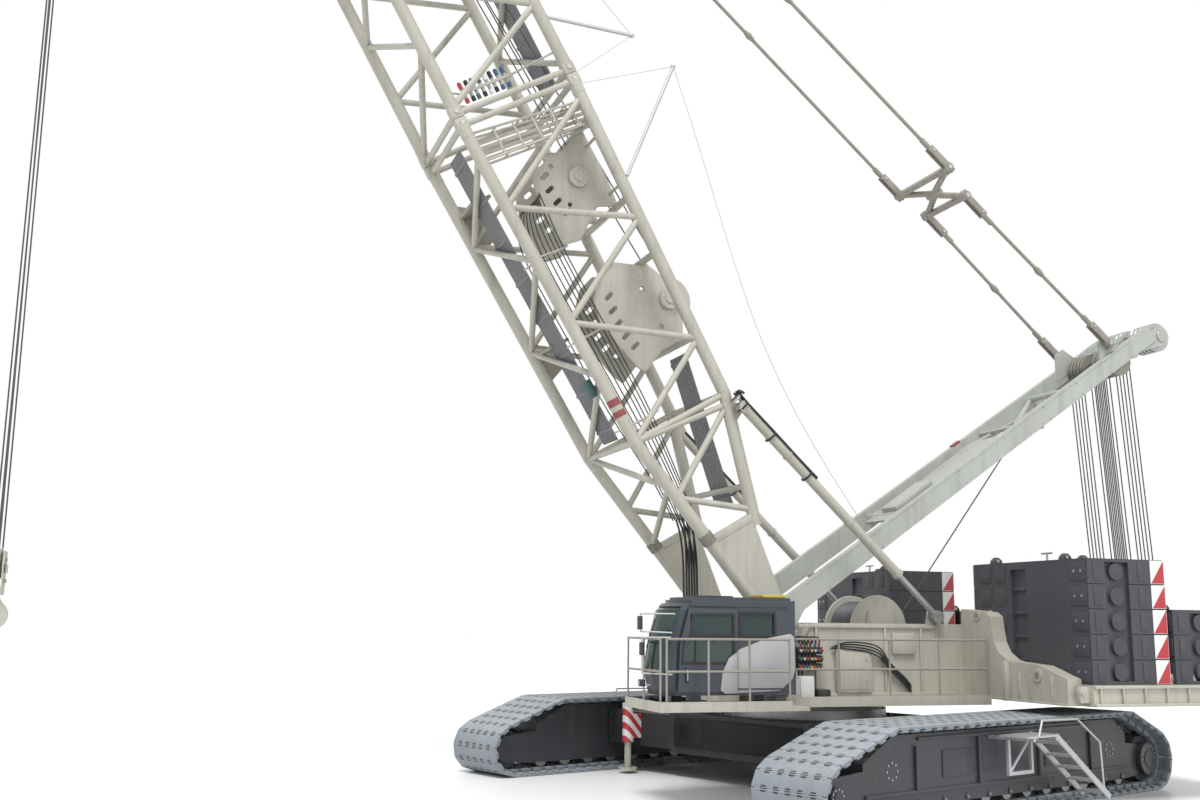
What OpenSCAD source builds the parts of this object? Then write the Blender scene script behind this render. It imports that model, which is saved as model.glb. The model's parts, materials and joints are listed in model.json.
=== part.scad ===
// Crawler crane with a lattice boom, standing with its boom raised.
// Millimetres, +Z up. The origin is on the slewing axis at the ground.
// The superstructure faces -Y, its cab side is +X, and the crawlers stand turned by slew_a below it.

/* [Machine] */
// Angle of the crawlers about the slewing axis, seen from the superstructure
slew_a = 20.2; // [0:0.1:35]
// Angle of the boom above the horizontal
boom_a = 60.4; // [50:0.1:70]
// Clearance between pieces that move past each other
run_gap = 8; // [5:1:12]
// Clearance of a seat that carries a load
seat_gap = 0.3; // [0.2:0.1:0.5]
// Radial clearance of a pin in its bore
pin_gap = 0.05; // [0.02:0.01:0.1]

/* [Crawlers] */
// Distance between the centre lines of the crawlers
gauge = 8400; // [8200:20:8800]
// Width of the track shoes
shoe_w = 1500; // [1300:20:1560]
// Overall length of a crawler
track_l = 10250; // [10000:25:10800]
// Height of a crawler over its shoes
track_h = 1500; // [1460:5:1520]
// Outer radius of the track round its end wheels
end_r = 520; // [480:5:560]
// Length of the flat top run ahead of the slewing axis
top_front = 3400; // [3100:20:3600]
// Length of the flat top run behind the slewing axis
top_rear = 3720; // [3500:20:3900]
// Thickness of the track band with its shoes
band_t = 130; // [110:5:150]
// Depth of the groove between two shoes
groove_d = 55; // [40:5:70]
// Half width of the groove between two shoes
groove_w = 16; // [10:1:24]
// Number of shoes on a track
shoe_n = 74; // [66:1:80]
// Width of a crawler side frame
side_w = 900; // [800:10:1000]
// Radius of the bottom rollers
roller_r = 150; // [130:5:165]
// Number of bottom rollers on a crawler
roller_n = 13; // [9:1:14]
// Thickness of the round hub cover of a drive wheel
hub_t = 90; // [60:5:110]
// Radius of the round hub cover of a drive wheel
hub_r = 300; // [260:10:320]

/* [Carbody] */
// Width of the carbody's middle box
carbody_w = 3700; // [3500:20:3900]
// Length of the carbody's middle box
carbody_l = 3900; // [3700:20:4200]
// Width of a cross beam along the machine
beam_w = 950; // [800:10:1100]
// Height of the carbody's underside above the ground
belly_z = 480; // [400:10:560]
// Height of the carbody's upper face
carbody_z = 1270; // [1220:10:1300]
// Outer radius of the slewing bearing
ring_r = 1620; // [1500:10:1700]
// Height of the split between the bearing's two rings
ring_z = 1440; // [1400:5:1470]
// Distance of the support jacks from the centre, across the machine
jack_x = 2840; // [2700:10:2900]
// Distance of the support jacks from the carbody's end faces
jack_off = 260; // [220:10:400]
// Outer radius of a jack's tube
jack_r = 115; // [95:5:130]
// Height of a jack's foot plate above the ground at rest
jack_clear = 60; // [20:5:120]

/* [Superstructure] */
// Height of the platform's underside
deck_z = 1560; // [1540:5:1600]
// Half width of the platform over its girders
deck_x = 1550; // [1450:10:1650]
// Height of the girders' upper face
girder_z = 3080; // [2900:10:3200]
// Width of a girder
girder_w = 300; // [240:10:340]
// Front end of the platform
deck_front = 2150; // [2000:10:2300]
// Rear end of the girders
deck_rear = 3300; // [3200:10:3400]
// Distance of the boom's foot pin ahead of the slewing axis
pivot_y = 1134; // [1100:10:1200]
// Height of the boom's foot pin
pivot_z = 2745; // [2700:5:2800]
// Radius of the boom's foot pin
pin_r = 110; // [90:5:130]

/* [Cab] */
// Inner side of the cab from the centre
cab_in = 1740; // [1700:10:1800]
// Outer side of the cab from the centre
cab_out = 2960; // [2900:10:3040]
// Distance of the cab's windscreen foot ahead of the slewing axis
cab_front = 4050; // [4000:10:4100]
// How far the windscreen's middle stands out ahead of its sides
cab_bulge = 270; // [200:10:300]
// Distance of the cab's rear wall ahead of the slewing axis
cab_back = 1720; // [1650:10:1800]
// Height of the cab's floor underside
cab_z = 1830; // [1800:10:1860]
// Height of the cab's roof
cab_top = 3450; // [3400:10:3500]
// Thickness of the cab's walls
wall_t = 60; // [50:5:80]
// Outer edge of the cab platform and walkways
walk_x = 3350; // [3300:10:3450]
// Height of a railing above its floor
rail_h = 1160; // [1000:10:1200]
// Radius of a railing's tube
rail_r = 20; // [16:1:26]

/* [Counterweight] */
// Outer face of the stacks from the centre
stack_out = 4870; // [4800:10:4950]
// Inner face of the stacks from the centre
stack_in = 1560; // [1500:10:1620]
// Front face of the front stacks
stack_front = 3040; // [3000:10:3100]
// Length of a stack along the machine
stack_l = 1690; // [1650:10:1720]
// Height of one counterweight block
block_h = 440; // [420:5:450]
// Height of the tray's underside
tray_z = 1690; // [1660:5:1720]
// Height of the tray's deck
tray_top = 2060; // [2040:5:2080]

/* [Boom] */
// Distance from the foot pin to the head sheaves
boom_l = 27200; // [26500:50:27500]
// Length of the foot section
base_l = 11500; // [11200:20:11700]
// Length of the middle section
mid_l = 8700; // [8400:20:8900]
// Distance from the foot pin to the knee of the chords
knee_u = 4650; // [4500:10:4800]
// Half width of the boom between chord axes
boom_x = 1350; // [1330:5:1370]
// Half depth of the boom between chord axes
boom_v = 1250; // [1200:5:1300]
// Half depth of the boom at the knee
knee_v = 1060; // [1000:5:1100]
// Height of the boom's centre line above its foot pin
boom_off = 220; // [180:5:240]
// Radius of a chord tube
chord_r = 122; // [110:1:130]
// Radius of a bracing tube
brace_r = 62; // [52:1:68]
// Radius of the head sheaves
sheave_r = 450; // [420:5:480]

/* [Mast] */
// Height of the mast's head over its foot pin
mast_z = 6900; // [6700:20:7100]
// Distance of the mast's head behind its foot pin
mast_y = 10050; // [9900:20:10200]
// Distance of a mast leg's middle from the centre at the foot
mast_foot_x = 950; // [930:5:960]
// Distance of a mast leg's middle from the centre at the head
mast_head_x = 760; // [750:5:770]
// Height of a mast leg's middle over the pin line at the foot
mast_lift = 330; // [300:5:345]
// Height of a mast leg's middle over the pin line at the head
mast_head_lift = 200; // [180:5:220]
// Depth of a mast leg
leg_d = 420; // [380:5:460]
// Width of a mast leg
leg_w = 150; // [130:5:170]

/* [Pendants and hook] */
// Radius of a pendant bar
pendant_r = 38; // [32:1:46]
// Distance of a pendant from the centre
pendant_x = 840; // [800:5:860]
// Height of the hook block's middle above the ground
hook_z = 3900; // [3700:20:4200]
// Radius of the hook block's sheaves
block_r = 260; // [240:5:280]
// Radius of a hoist rope
rope_r = 14; // [12:1:18]

/* [Hidden] */

$fn = 48;
mesh_fn = 8;
brace_fn = 6;
eps = 1;

rear_r = end_r + 40;
front_c = [-(track_l / 2 - end_r), end_r];
rear_c = [track_l / 2 - rear_r, rear_r];
frame_mid = gauge / 2;
boom_top_l = boom_l - base_l - mid_l;
sheave_off = -180;
stack_rear = stack_front + stack_l + 130;
tray_l = 4100;
front_blocks = 5;
rear_blocks = 3;
hook_y = -pivot_y - boom_l * cos(boom_a) + (boom_off + sheave_off) * sin(boom_a);
head_z = pivot_z + boom_l * sin(boom_a) + (boom_off + sheave_off) * cos(boom_a);
head_y = hook_y;
mast_a = atan2(mast_z, mast_y);
mast_len = norm([mast_y, mast_z]);

// Round end of the plates that carry an end wheel, and its axle.
yoke_r = 260;
yoke_t = 60;
axle_r = 80;
skirt_z = 230;
roller_axle_r = 40;
front_end = 3900;
front_end_rear = 3900;
jack_y = carbody_l / 2 + jack_off;
// Ladder and landing beside a crawler: height of the landing, and middles of the treads.
shoe_out = frame_mid + shoe_w / 2;
step_w = 560;
landing_z = 1270;
landing = [-760, 200];
ladder_top = [150, 1290];
ladder_foot = [1760, 180];
tread_n = 5;
jack_rod_r = 70;
deck_t = 140;
lug_t = 90;
lug_back = -pivot_y + 520;
boom_eye_x0 = boom_x - 80;
boom_eye_x1 = boom_x + 80;
eye_r = 250;
foot_u = 2250;
// Cab platform, walkway and door.
walk_z = 1640;
support_z = 1540;
toe_h = 110;
side_walk_w = 900;
pack_front = -1950;
pillar = 90;
door_off = 40;
door_t = 40;
door_y0 = -3990;
door_y1 = -2880;
// Planes that split the cab shell into its front frame and its side walls.
front_split = -3760;
floor_split = cab_z + wall_t + 20;
// Luffing drum.
luff_y = 1450;
luff_z = 3000;
luff_w = 1080;
luff_flange_r = 650;
// Cross frame ahead of the stacks.
arm_t = 300;
arm_y = stack_front - arm_t - 20;
arm_end = 4600;
// Bracing runs of the three boom sections, as steps along each face, and the two hoists:
// the beams at their ends, the drum's place and its flange.
base_run = [knee_u, 5850, 7200, 8450, 9650, base_l - 450];
base_low_run = [knee_u, 6050, 7150, 8500, 9600, base_l - 750];
beam_t = 120;
node_gap = 90;
face_gap = 37;
side_twist = 17;
hoist_w = 1100;
hoists = [[5900, 7700, 6800, 1500, 500], [8900, 10600, 9750, 950, 520]];
// Lower edges of the two hoists' side plates, as [distance along the boom, height].
hoist_edges = [
    [[5950, 800], [5730, 320], [5940, 200], [6440, 70], [7000, -50], [7440, 50], [7830, 410], [7960, 770]],
    [[9090, 1030], [8610, 370], [8660, 10], [9100, -40], [9710, -30], [10100, 80], [10510, 430], [10340, 800]],
];
walk_half = 430;
head_x = 720;
head_lug_x = 840;
jib_r = 60;
pendant_pin_r = 50;
line_x = 300;
line_gap = 50;
block_gap = 42;
head_sheave_w = 70;
block_sheave_w = 60;
groove_part = 0.4;
rope_y = head_y - rope_seat(sheave_r, head_sheave_w);
// Pendants and mast head.
mast_lug_y = 10740;
mast_lug_z = 630;
yoke_dist = 4680;
yoke_len = 760;
yoke_low_x = 740;
yoke_high_x = 960;
open_gap = 2;
mast_sheave_r = 330;
// Backstops.
stop_x = 1650;
stop_y = 2090;
stop_z = 3220;
stop_u = 4276;
stop_v = 1360;
stop_r = 95;
stop_rod_r = 60;
stop_pin_x = stop_x - stop_r - run_gap;
// Bare length of a backstop's rod, its length inside the tube, and the depth of the tube's bore.
stop_bare = 1140;
stop_in = 2200;
stop_bore = 3360;
hook_t = 90;

shoe_grey = [0.55, 0.60, 0.65];
frame_dark = [0.20, 0.21, 0.23];
body_black = [0.10, 0.10, 0.11];
beige = [0.80, 0.78, 0.72];
steel = [0.62, 0.63, 0.64];
slate = [0.17, 0.22, 0.27];
glass_tint = [0.25, 0.33, 0.36];
stack_grey = [0.22, 0.23, 0.26];
signal_red = [0.75, 0.10, 0.10];

// Crawlers stand turned about the slewing axis.
module turned() rotate([0, 0, slew_a]) children();

// The boom's own frame: X across, -Y along the boom from its foot pin, Z towards its upper chords.
module at_boom() translate([0, -pivot_y, pivot_z]) rotate([-boom_a, 0, 0]) children();

// The mast's own frame: X across, +Y along the mast from the common foot pin, Z above it.
module at_mast() translate([0, -pivot_y, pivot_z]) rotate([mast_a, 0, 0]) children();

// A plate in the YZ plane: a polygon of [y, z] points, from x to x + t.
module side_plate(pts, x, t)
    multmatrix([[0, 0, 1, x], [1, 0, 0, 0], [0, 1, 0, 0], [0, 0, 0, 1]])
        linear_extrude(t) polygon(pts);

// A round bar along X.
module x_bar(r, x0, x1, y, z)
    translate([x0, y, z]) rotate([0, 90, 0]) cylinder(r = r, h = x1 - x0);

// A box from its low corner to its high corner.
module block(a, b) translate(a) cube(b - a);

// A straight tube between two points, as a prism with n sides.
module strut(a, b, r, n = brace_fn) {
    d = b - a;
    translate(a) rotate([0, acos(d[2] / norm(d)), atan2(d[1], d[0])])
        cylinder(r = r, h = norm(d), $fn = n);
}

// A hull tube between two points, turned by twist about itself.
// Its inner rims are smaller, so that only the end rims stay.
module bar(a, b, r = brace_r, n = brace_fn, twist = 0) {
    d = b - a;
    tilt = [0, acos(d[2] / norm(d)), atan2(d[1], d[0])];
    hull() {
        translate(a) rotate(tilt) rotate([0, 0, twist]) cylinder(r1 = r, r2 = r / 2, h = eps, $fn = n);
        translate(b) rotate(tilt) rotate([0, 0, twist]) translate([0, 0, -eps]) cylinder(r1 = r / 2, r2 = r, h = eps, $fn = n);
    }
}

// Both sides of the machine.
module both() {
    children();
    mirror([1, 0, 0]) children();
}

// A point of the boom's frame from its distance along the boom, its side and its height.
function boom_pt(x, u, v) = [x, -u, v];

// Half depth of the boom's chords at distance u from the foot pin.
function half_v(u) =
    u < knee_u ? knee_v * (u / knee_u) :
    u < base_l ? knee_v + (boom_v - knee_v) * (u - knee_u) / (base_l - knee_u) :
    u < base_l + mid_l ? boom_v :
    boom_v - (boom_v - 450) * (u - base_l - mid_l) / boom_top_l;

// Height of the boom's centre line, which drops to the foot pin below the knee.
function mid_v(u) = u < knee_u ? boom_off * u / knee_u : boom_off;

// Side distance of the chords, which close in towards the head.
function half_x(u) = u < base_l + mid_l ? boom_x : boom_x - (boom_x - 620) * (u - base_l - mid_l) / boom_top_l;

// A chord point: s is the side, w is 1 for the upper and -1 for the lower chord.
function chord(s, w, u) = boom_pt(s * half_x(u), u, mid_v(u) + w * half_v(u));

// Points of an arc round c from angle a0 to a1 in n steps.
function arc(c, r, a0, a1, n) = [for (i = [0:n]) c + r * [cos(a0 + (a1 - a0) * i / n), sin(a0 + (a1 - a0) * i / n)]];

// Direction of the straight run that leaves an end circle of radius r at c for the point p.
function tangent_a(c, r, p, s) = atan2(p[1] - c[1], p[0] - c[0]) + s * acos(r / norm(p - c));

// Outline of a crawler, set in from the shoe tips, anticlockwise in [y, z].
function track_path(inset) =
    let (f = [-top_front, track_h - inset], b = [top_rear, track_h - inset])
    concat(
        arc(rear_c, rear_r - inset, -90, tangent_a(rear_c, rear_r - inset, b, -1), 12),
        [b, f],
        arc(front_c, end_r - inset, tangent_a(front_c, end_r - inset, f, 1), 270, 12));

// Running length of a closed path up to each of its points.
function run_lengths(p, i = 0, sum = 0) =
    i == len(p) ? [sum] : concat([sum], run_lengths(p, i + 1, sum + norm(p[(i + 1) % len(p)] - p[i])));

// The point at running length s on a closed path.
function point_at(p, runs, s) =
    let (i = min([for (j = [0:len(p) - 1]) if (runs[j + 1] >= s) j]))
    p[i] + (p[(i + 1) % len(p)] - p[i]) * (s - runs[i]) / (runs[i + 1] - runs[i]);

// Three outline points of the shoe from a to b, whose next shoe ends at c: tip, tip, groove.
function shoe_pts(a, b, c) =
    let (t = (b - a) / norm(b - a), m = (c - a) / norm(c - a))
    [a + groove_w * t, b - groove_w * t, b - groove_d * [m[1], -m[0]]];

// A fixed track loop with its shoes in its outline.
module track_loop() {
    path = track_path(0);
    runs = run_lengths(path);
    pitch = runs[len(path)] / shoe_n;
    ends = [for (k = [0:shoe_n - 1]) point_at(path, runs, k * pitch)];
    outer = [for (k = [0:shoe_n - 1])
        each shoe_pts(ends[k], ends[(k + 1) % shoe_n], ends[(k + 2) % shoe_n])];
    inner = track_path(band_t);
    color(shoe_grey)
        multmatrix([[0, 0, 1, frame_mid - shoe_w / 2], [1, 0, 0, 0], [0, 1, 0, 0], [0, 0, 0, 1]])
            linear_extrude(shoe_w)
                polygon(concat(outer, inner),
                    [[for (i = [0:len(outer) - 1]) i], [for (i = [0:len(inner) - 1]) len(outer) + i]]);
}

module side_frame() {
    x0 = frame_mid - side_w / 2;
    top = track_h - band_t - 25;
    low = band_t + 2 * roller_r + 25;
    core = [[-front_end, low], [front_end_rear, low], [front_end_rear, 1080], [top_rear - 260, top],
        [-top_front + 260, top], [-front_end, 950]];
    color(frame_dark) difference() {
        union() {
            side_plate(core, x0, side_w);
            for (x = [x0, x0 + side_w - yoke_t]) {
                side_plate([[-front_end, low], [front_end_rear, low], [front_end_rear, skirt_z], [-front_end, skirt_z]],
                    x, yoke_t);
                side_plate(yoke_pts(front_c, -1, -front_end), x, yoke_t);
                side_plate(yoke_pts(rear_c, 1, front_end_rear), x, yoke_t);
            }
        }
        x_bar(axle_r + pin_gap, x0 - eps, x0 + side_w + eps, front_c[0], front_c[1]);
        x_bar(axle_r + pin_gap, x0 - eps, x0 + side_w + eps, rear_c[0], rear_c[1]);
    }
}

// Side plate that reaches from the frame's end at y to round an end wheel's axle.
function yoke_pts(c, s, y) = concat(
    [[y, skirt_z], [y, c[1] + yoke_r + 60]],
    [for (a = [90:-15:-90]) [c[0] + s * yoke_r * cos(a), c[1] + yoke_r * sin(a)]]);

module roller_row() {
    x0 = frame_mid - side_w / 2 + yoke_t + run_gap;
    y_end = front_end - roller_r - 40;
    x1 = x0 + side_w - 2 * yoke_t - 2 * run_gap;
    z = band_t + roller_r + seat_gap;
    color(steel) for (i = [0:roller_n - 1]) {
        y = -y_end + (y_end + front_end_rear - roller_r - 40) * i / (roller_n - 1);
        x_bar(roller_r, x0, x1, y, z);
        x_bar(roller_axle_r, x0 - run_gap + seat_gap, x1 + run_gap - seat_gap, y, z);
    }
}

// An end wheel with its axle and its outer hub cover.
module end_wheel(c, r, hub_r) {
    x0 = frame_mid - side_w / 2;
    color(steel) union() {
        x_bar(r, x0 + yoke_t + run_gap, x0 + side_w - yoke_t - run_gap, c[0], c[1]);
        x_bar(axle_r, x0 + 10, x0 + side_w + run_gap + eps, c[0], c[1]);
        x_bar(hub_r, x0 + side_w + run_gap, x0 + side_w + run_gap + hub_t, c[0], c[1]);
    }
}

module drive_wheel() end_wheel(rear_c, rear_r - band_t - run_gap - 8, hub_r);

module idler() end_wheel(front_c, end_r - band_t - run_gap - 8, 150);

module side_frame_left() turned() side_frame();
module side_frame_right() turned() mirror([1, 0, 0]) side_frame();
module track_left() turned() track_loop();
module track_right() turned() mirror([1, 0, 0]) track_loop();
module rollers() turned() both() roller_row();
module drive_wheel_left() turned() drive_wheel();
module drive_wheel_right() turned() mirror([1, 0, 0]) drive_wheel();
module idler_left() turned() idler();
module idler_right() turned() mirror([1, 0, 0]) idler();

module carbody() color(body_black) turned() {
    reach = frame_mid - side_w / 2;
    block([-carbody_w / 2, -carbody_l / 2, belly_z], [carbody_w / 2, carbody_l / 2, carbody_z]);
    for (s = [-1, 1]) {
        y = s * (carbody_l / 2 - beam_w / 2);
        block([-reach, y - beam_w / 2, belly_z + 60], [reach, y + beam_w / 2, carbody_z - 60]);
    }
}

module slewing_ring() color(steel) turned()
    translate([0, 0, carbody_z]) cylinder(r = ring_r, h = ring_z - carbody_z, $fn = 180);

// A landing and a ladder that hang on the outer side of each crawler.
module access_steps() color(steel) turned() both() {
    x0 = frame_mid + side_w / 2;
    xa = shoe_out + 30;
    x1 = shoe_out + step_w;
    low = 600;
    arms = [landing[0] + 210, landing[1] - 80];
    for (y = arms) {
        block([x0, y - 30, landing_z - 90], [x1, y + 30, landing_z - 29]);
        block([xa, y - 30, low], [xa + 50, y + 30, landing_z - 60]);
    }
    block([xa, arms[0], low], [xa + 50, arms[1], low + 60]);
    strut([xa + 25, arms[0], low + 40], [xa + 25, arms[1], landing_z - 60], 30, 8);
    block([xa, landing[0], landing_z - 30], [x1, landing[1], landing_z]);
    fall = (ladder_foot - ladder_top) / tread_n;
    for (x = [xa, x1 - 30])
        side_plate([ladder_top + [0, -120], ladder_top, ladder_foot, ladder_foot + [-60, -80]], x, 30);
    for (i = [0:tread_n - 1]) {
        p = ladder_top + fall * (i + 0.62);
        block([xa + 29, p[0] - 110, p[1] - 60], [x1 - 29, p[0] + 110, p[1] - 25]);
    }
    // Handrail
    rail = [[-400, landing_z - 15], [-280, 1520], [800, 1500], [1500, 1080], [1560, 240]];
    for (i = [0:3]) strut([x1 - 15, rail[i][0], rail[i][1]], [x1 - 15, rail[i + 1][0], rail[i + 1][1]], 18, 8);
}

// Where each jack stands.
module at_jack(sx, sy) turned() translate([sx * jack_x, sy * jack_y, 0]) children();

module jack_tubes() color(signal_red) for (sx = [-1, 1], sy = [-1, 1]) at_jack(sx, sy) {
    difference() {
        union() {
            translate([0, 0, 620]) cylinder(r = jack_r, h = 780);
            block([-sx * 60 - 60, -sy * (jack_y - carbody_l / 2) / 2 - (jack_y - carbody_l / 2) / 2, 700],
                [-sx * 60 + 60, -sy * (jack_y - carbody_l / 2) / 2 + (jack_y - carbody_l / 2) / 2, 1180]);
        }
        translate([0, 0, 600]) cylinder(r = jack_rod_r + pin_gap, h = 760);
    }
}

module jack_leg(sx, sy) color(beige) at_jack(sx, sy) {
    translate([0, 0, jack_clear + 40]) cylinder(r = jack_rod_r, h = 910 - jack_clear);
    translate([0, 0, jack_clear]) cylinder(r = 190, h = 60);
}
module jack_front_left() jack_leg(1, -1);
module jack_front_right() jack_leg(-1, -1);
module jack_rear_left() jack_leg(1, 1);
module jack_rear_right() jack_leg(-1, 1);

// The platform: its plate on the upper bearing ring, two girders and the lugs and pins of boom and mast.
module deck_frame() color(beige) {
    translate([0, 0, ring_z + seat_gap]) cylinder(r = ring_r - 60, h = deck_z - ring_z + eps, $fn = 96);
    block([-deck_x, -deck_front, deck_z], [deck_x, deck_rear, deck_z + deck_t]);
    block([-deck_x + girder_w - eps, deck_rear - 200, deck_z + deck_t - eps],
        [deck_x - girder_w + eps, deck_rear, girder_z - 300]);
    both() {
        side_plate([[-deck_front, deck_z + deck_t - eps], [deck_rear, deck_z + deck_t - eps], [deck_rear, girder_z],
            [lug_back, girder_z], [lug_back - 250, pivot_z - 340], [-deck_front + 500, pivot_z - 340],
            [-deck_front, 1900]], deck_x - girder_w, girder_w);
        for (x = [boom_eye_x0 - run_gap - lug_t, boom_eye_x1 + run_gap]) foot_lug(x);
        for (x = [mast_foot_x - leg_w / 2 - run_gap - lug_t, mast_foot_x + leg_w / 2 + run_gap]) foot_lug(x);
        block([mast_foot_x - leg_w / 2 - run_gap - lug_t - 40, -deck_front + 500, deck_z + deck_t - eps],
            [deck_x - girder_w + eps, lug_back - 200, pivot_z - 340]);
        x_bar(pin_r, mast_foot_x - leg_w / 2 - run_gap - lug_t + eps, boom_eye_x1 + run_gap + lug_t - eps,
            -pivot_y, pivot_z);
        // Bracket with the foot pin of a backstop.
        side_plate([[stop_y - 260, girder_z - 400], [stop_y + 260, girder_z - 400], [stop_y + 120, stop_z + 120],
            [stop_y - 120, stop_z + 120]], deck_x - 60, 60);
        x_bar(60, deck_x - 30, deck_x + run_gap + 140, stop_y, stop_z);
    }
}

module foot_lug(x) side_plate([[-pivot_y - 330, pivot_z - 341], [-pivot_y + 330, pivot_z - 341],
    [-pivot_y + 200, pivot_z + 120], [-pivot_y + 100, pivot_z + 200], [-pivot_y - 100, pivot_z + 200],
    [-pivot_y - 200, pivot_z + 120]], x, lug_t);

// Cross frame that carries the tray and lifts over to the girders.
module rear_arms() color(beige) {
    both() difference() {
        translate([0, arm_y + arm_t, 0]) rotate([90, 0, 0]) linear_extrude(arm_t)
            polygon([[deck_x + seat_gap, tray_z], [arm_end, tray_z], [arm_end, tray_top + 90], [3880, 2360],
                [3100, 2405], [2940, 2430], [2700, 2560], [2560, 2760], [2510, 3000], [2480, 3230], [2330, 3320],
                [deck_x + seat_gap, 3380]]);
        translate([2070, arm_y - eps, 3260]) rotate([-90, 0, 0]) cylinder(r = 45, h = arm_t + 2 * eps);
        translate([3810, arm_y - eps, 2190]) rotate([-90, 0, 0]) cylinder(r = 55, h = arm_t + 2 * eps);
    }
}

// Plan outline of the cab in [x, y], set in by t, with a front that bulges by b beyond the line y.
function cab_plan(y, b, t) =
    let (mid = (cab_in + cab_out) / 2, half = (cab_out - cab_in) / 2 - t)
    concat([[cab_out - t, -cab_back - t], [cab_in + t, -cab_back - t]],
        [for (i = [-4:4]) [mid + half * i / 4, -y + t - b * (1 - i * i / 16)]]);

// Convex body of the cab, set in by t.
module cab_body(t) {
    rows = [[cab_front - 60, cab_bulge - 60, cab_z + t], [cab_front, cab_bulge, cab_z + 430],
        [cab_front - 50, cab_bulge, cab_z + 860], [cab_front - 240, cab_bulge + 30, cab_top - 180],
        [cab_front - 350, cab_bulge - 120, cab_top - t]];
    hull() for (r = rows) translate([0, 0, r[2] - (r[2] > cab_z + 1000 ? eps : 0)])
        linear_extrude(eps) polygon(cab_plan(r[0], r[1], t));
}

// Cab shell without its roof: floor, rear wall, front frame and side walls that meet at panel joints.
module cab_shell() color(slate) difference() {
    union() {
        difference() {
            cab_body(0);
            cab_body(wall_t);
        }
        // Feet on the platform, and the two rails of the door.
        for (x = [cab_in + 80, cab_out - 280], y = [-cab_front + 350, -cab_back - 350])
            block([x, y, walk_z + seat_gap], [x + 200, y + 200, cab_z + 20]);
        for (z = [cab_top - 110, cab_z + 90])
            block([cab_out - 20, front_split + 20, z], [cab_out + door_off - seat_gap, -cab_back - 120, z + 30]);
    }
    // Roof opening
    block([cab_in - eps, -cab_front - cab_bulge - 50, cab_top - wall_t], [cab_out + eps, -cab_back + eps, cab_top + eps]);
    // Panel joints
    block([cab_in - eps, -cab_front - cab_bulge - 50, floor_split], [cab_out + 50, -cab_back + eps, floor_split + seat_gap]);
    block([cab_in - eps, front_split, floor_split], [cab_out + 50, front_split + seat_gap, cab_top]);
    block([cab_in - eps, -cab_back - wall_t - 20, floor_split], [cab_out + 50, -cab_back - wall_t - 20 + seat_gap, cab_top]);
    // Joints of the sill, the post and the upper rail round the door opening
    block([cab_out - wall_t - 40, door_y1 - 60, floor_split], [cab_out + 50, door_y1 - 60 + seat_gap, cab_top]);
    for (z = [cab_z + 150 - seat_gap, cab_top - 160])
        block([cab_out - wall_t - 40, front_split, z], [cab_out + 50, door_y1 - 60 + seat_gap, z + seat_gap]);
    // Ends of the header behind the front frame's joint
    block([cab_in + wall_t + eps, front_split + seat_gap / 2, cab_top - 300],
        [cab_out - wall_t - eps, -cab_back - wall_t - 200, cab_top]);
    // Windscreen
    block([cab_in + pillar, -cab_front - cab_bulge - 50, cab_z + 330], [cab_out - pillar, front_split - 40, cab_top - wall_t - 60]);
    // Door opening
    block([cab_out - wall_t - 40, front_split + 60, cab_z + 150], [cab_out + eps, door_y1 - 60, cab_top - 160]);
    // Rear side window and front quarter of the far side
    block([cab_out - wall_t - 40, -2790, cab_z + 1010], [cab_out + eps, -2120, cab_top - 220]);
    block([cab_in - eps, front_split + 60, cab_z + 700], [cab_in + wall_t + 40, -cab_back - 300, cab_top - 240]);
    // Rear window
    block([cab_in + 220, -cab_back - wall_t - 10, cab_z + 850], [cab_out - 220, -cab_back + eps, cab_top - 240]);
}

module cab_roof() color(slate) {
    y = cab_front - 350;
    translate([0, 0, cab_top - wall_t + seat_gap]) linear_extrude(wall_t - seat_gap)
        polygon(cab_plan(y, cab_bulge - 120, 0));
    block([cab_in + 60, -y + 60, cab_top - eps], [cab_out - 60, -cab_back - 60, cab_top + 50]);
}

// Panes set in their openings.
module cab_glass() color(glass_tint) {
    difference() {
        intersection() {
            cab_body(20);
            block([cab_in + pillar + seat_gap, -cab_front - cab_bulge - 50, cab_z + 330 + seat_gap],
                [cab_out - pillar - seat_gap, front_split - 40 - seat_gap, cab_top - wall_t - 60 - seat_gap]);
        }
        cab_body(34);
    }
    block([cab_out - 40, -2790 + seat_gap, cab_z + 1010 + seat_gap],
        [cab_out - 30, -2120 - seat_gap, cab_top - 220 - seat_gap]);
    block([cab_in + 30, front_split + 60 + seat_gap, cab_z + 700 + seat_gap],
        [cab_in + 40, -cab_back - 300 - seat_gap, cab_top - 240 - seat_gap]);
    block([cab_in + 220 + seat_gap, -cab_back - 40, cab_z + 850 + seat_gap],
        [cab_out - 220 - seat_gap, -cab_back - 30, cab_top - 240 - seat_gap]);
}

module operator_seat() color(body_black) {
    x = (cab_in + cab_out) / 2;
    z = cab_z + wall_t + seat_gap;
    block([x - 200, -2900, z], [x + 200, -2500, z + 330]);
    block([x - 260, -2980, z + 330 - eps], [x + 260, -2440, z + 450]);
    block([x - 240, -2520, z + 450 - eps], [x + 240, -2400, z + 1080]);
    block([x - 420, -3050, z], [x - 300, -2500, z + 620]);
}

// Sliding door with its panes, its front edge along the windscreen's side.
module cab_door() {
    x = cab_out + door_off;
    color(slate) difference() {
        side_plate([[door_y0, cab_z + 60], [door_y1, cab_z + 60], [door_y1, cab_top - 150], [-cab_front + 270, cab_top - 150],
            [-cab_front + 100, cab_z + 860]], x, door_t);
        block([x - eps, -cab_front + 290, cab_z + 1020], [x + door_t + eps, door_y1 - 70, cab_top - 250]);
        block([x - eps, -cab_front + 140, cab_z + 550], [x + door_t + eps, door_y1 - 70, cab_z + 960]);
    }
}

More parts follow.
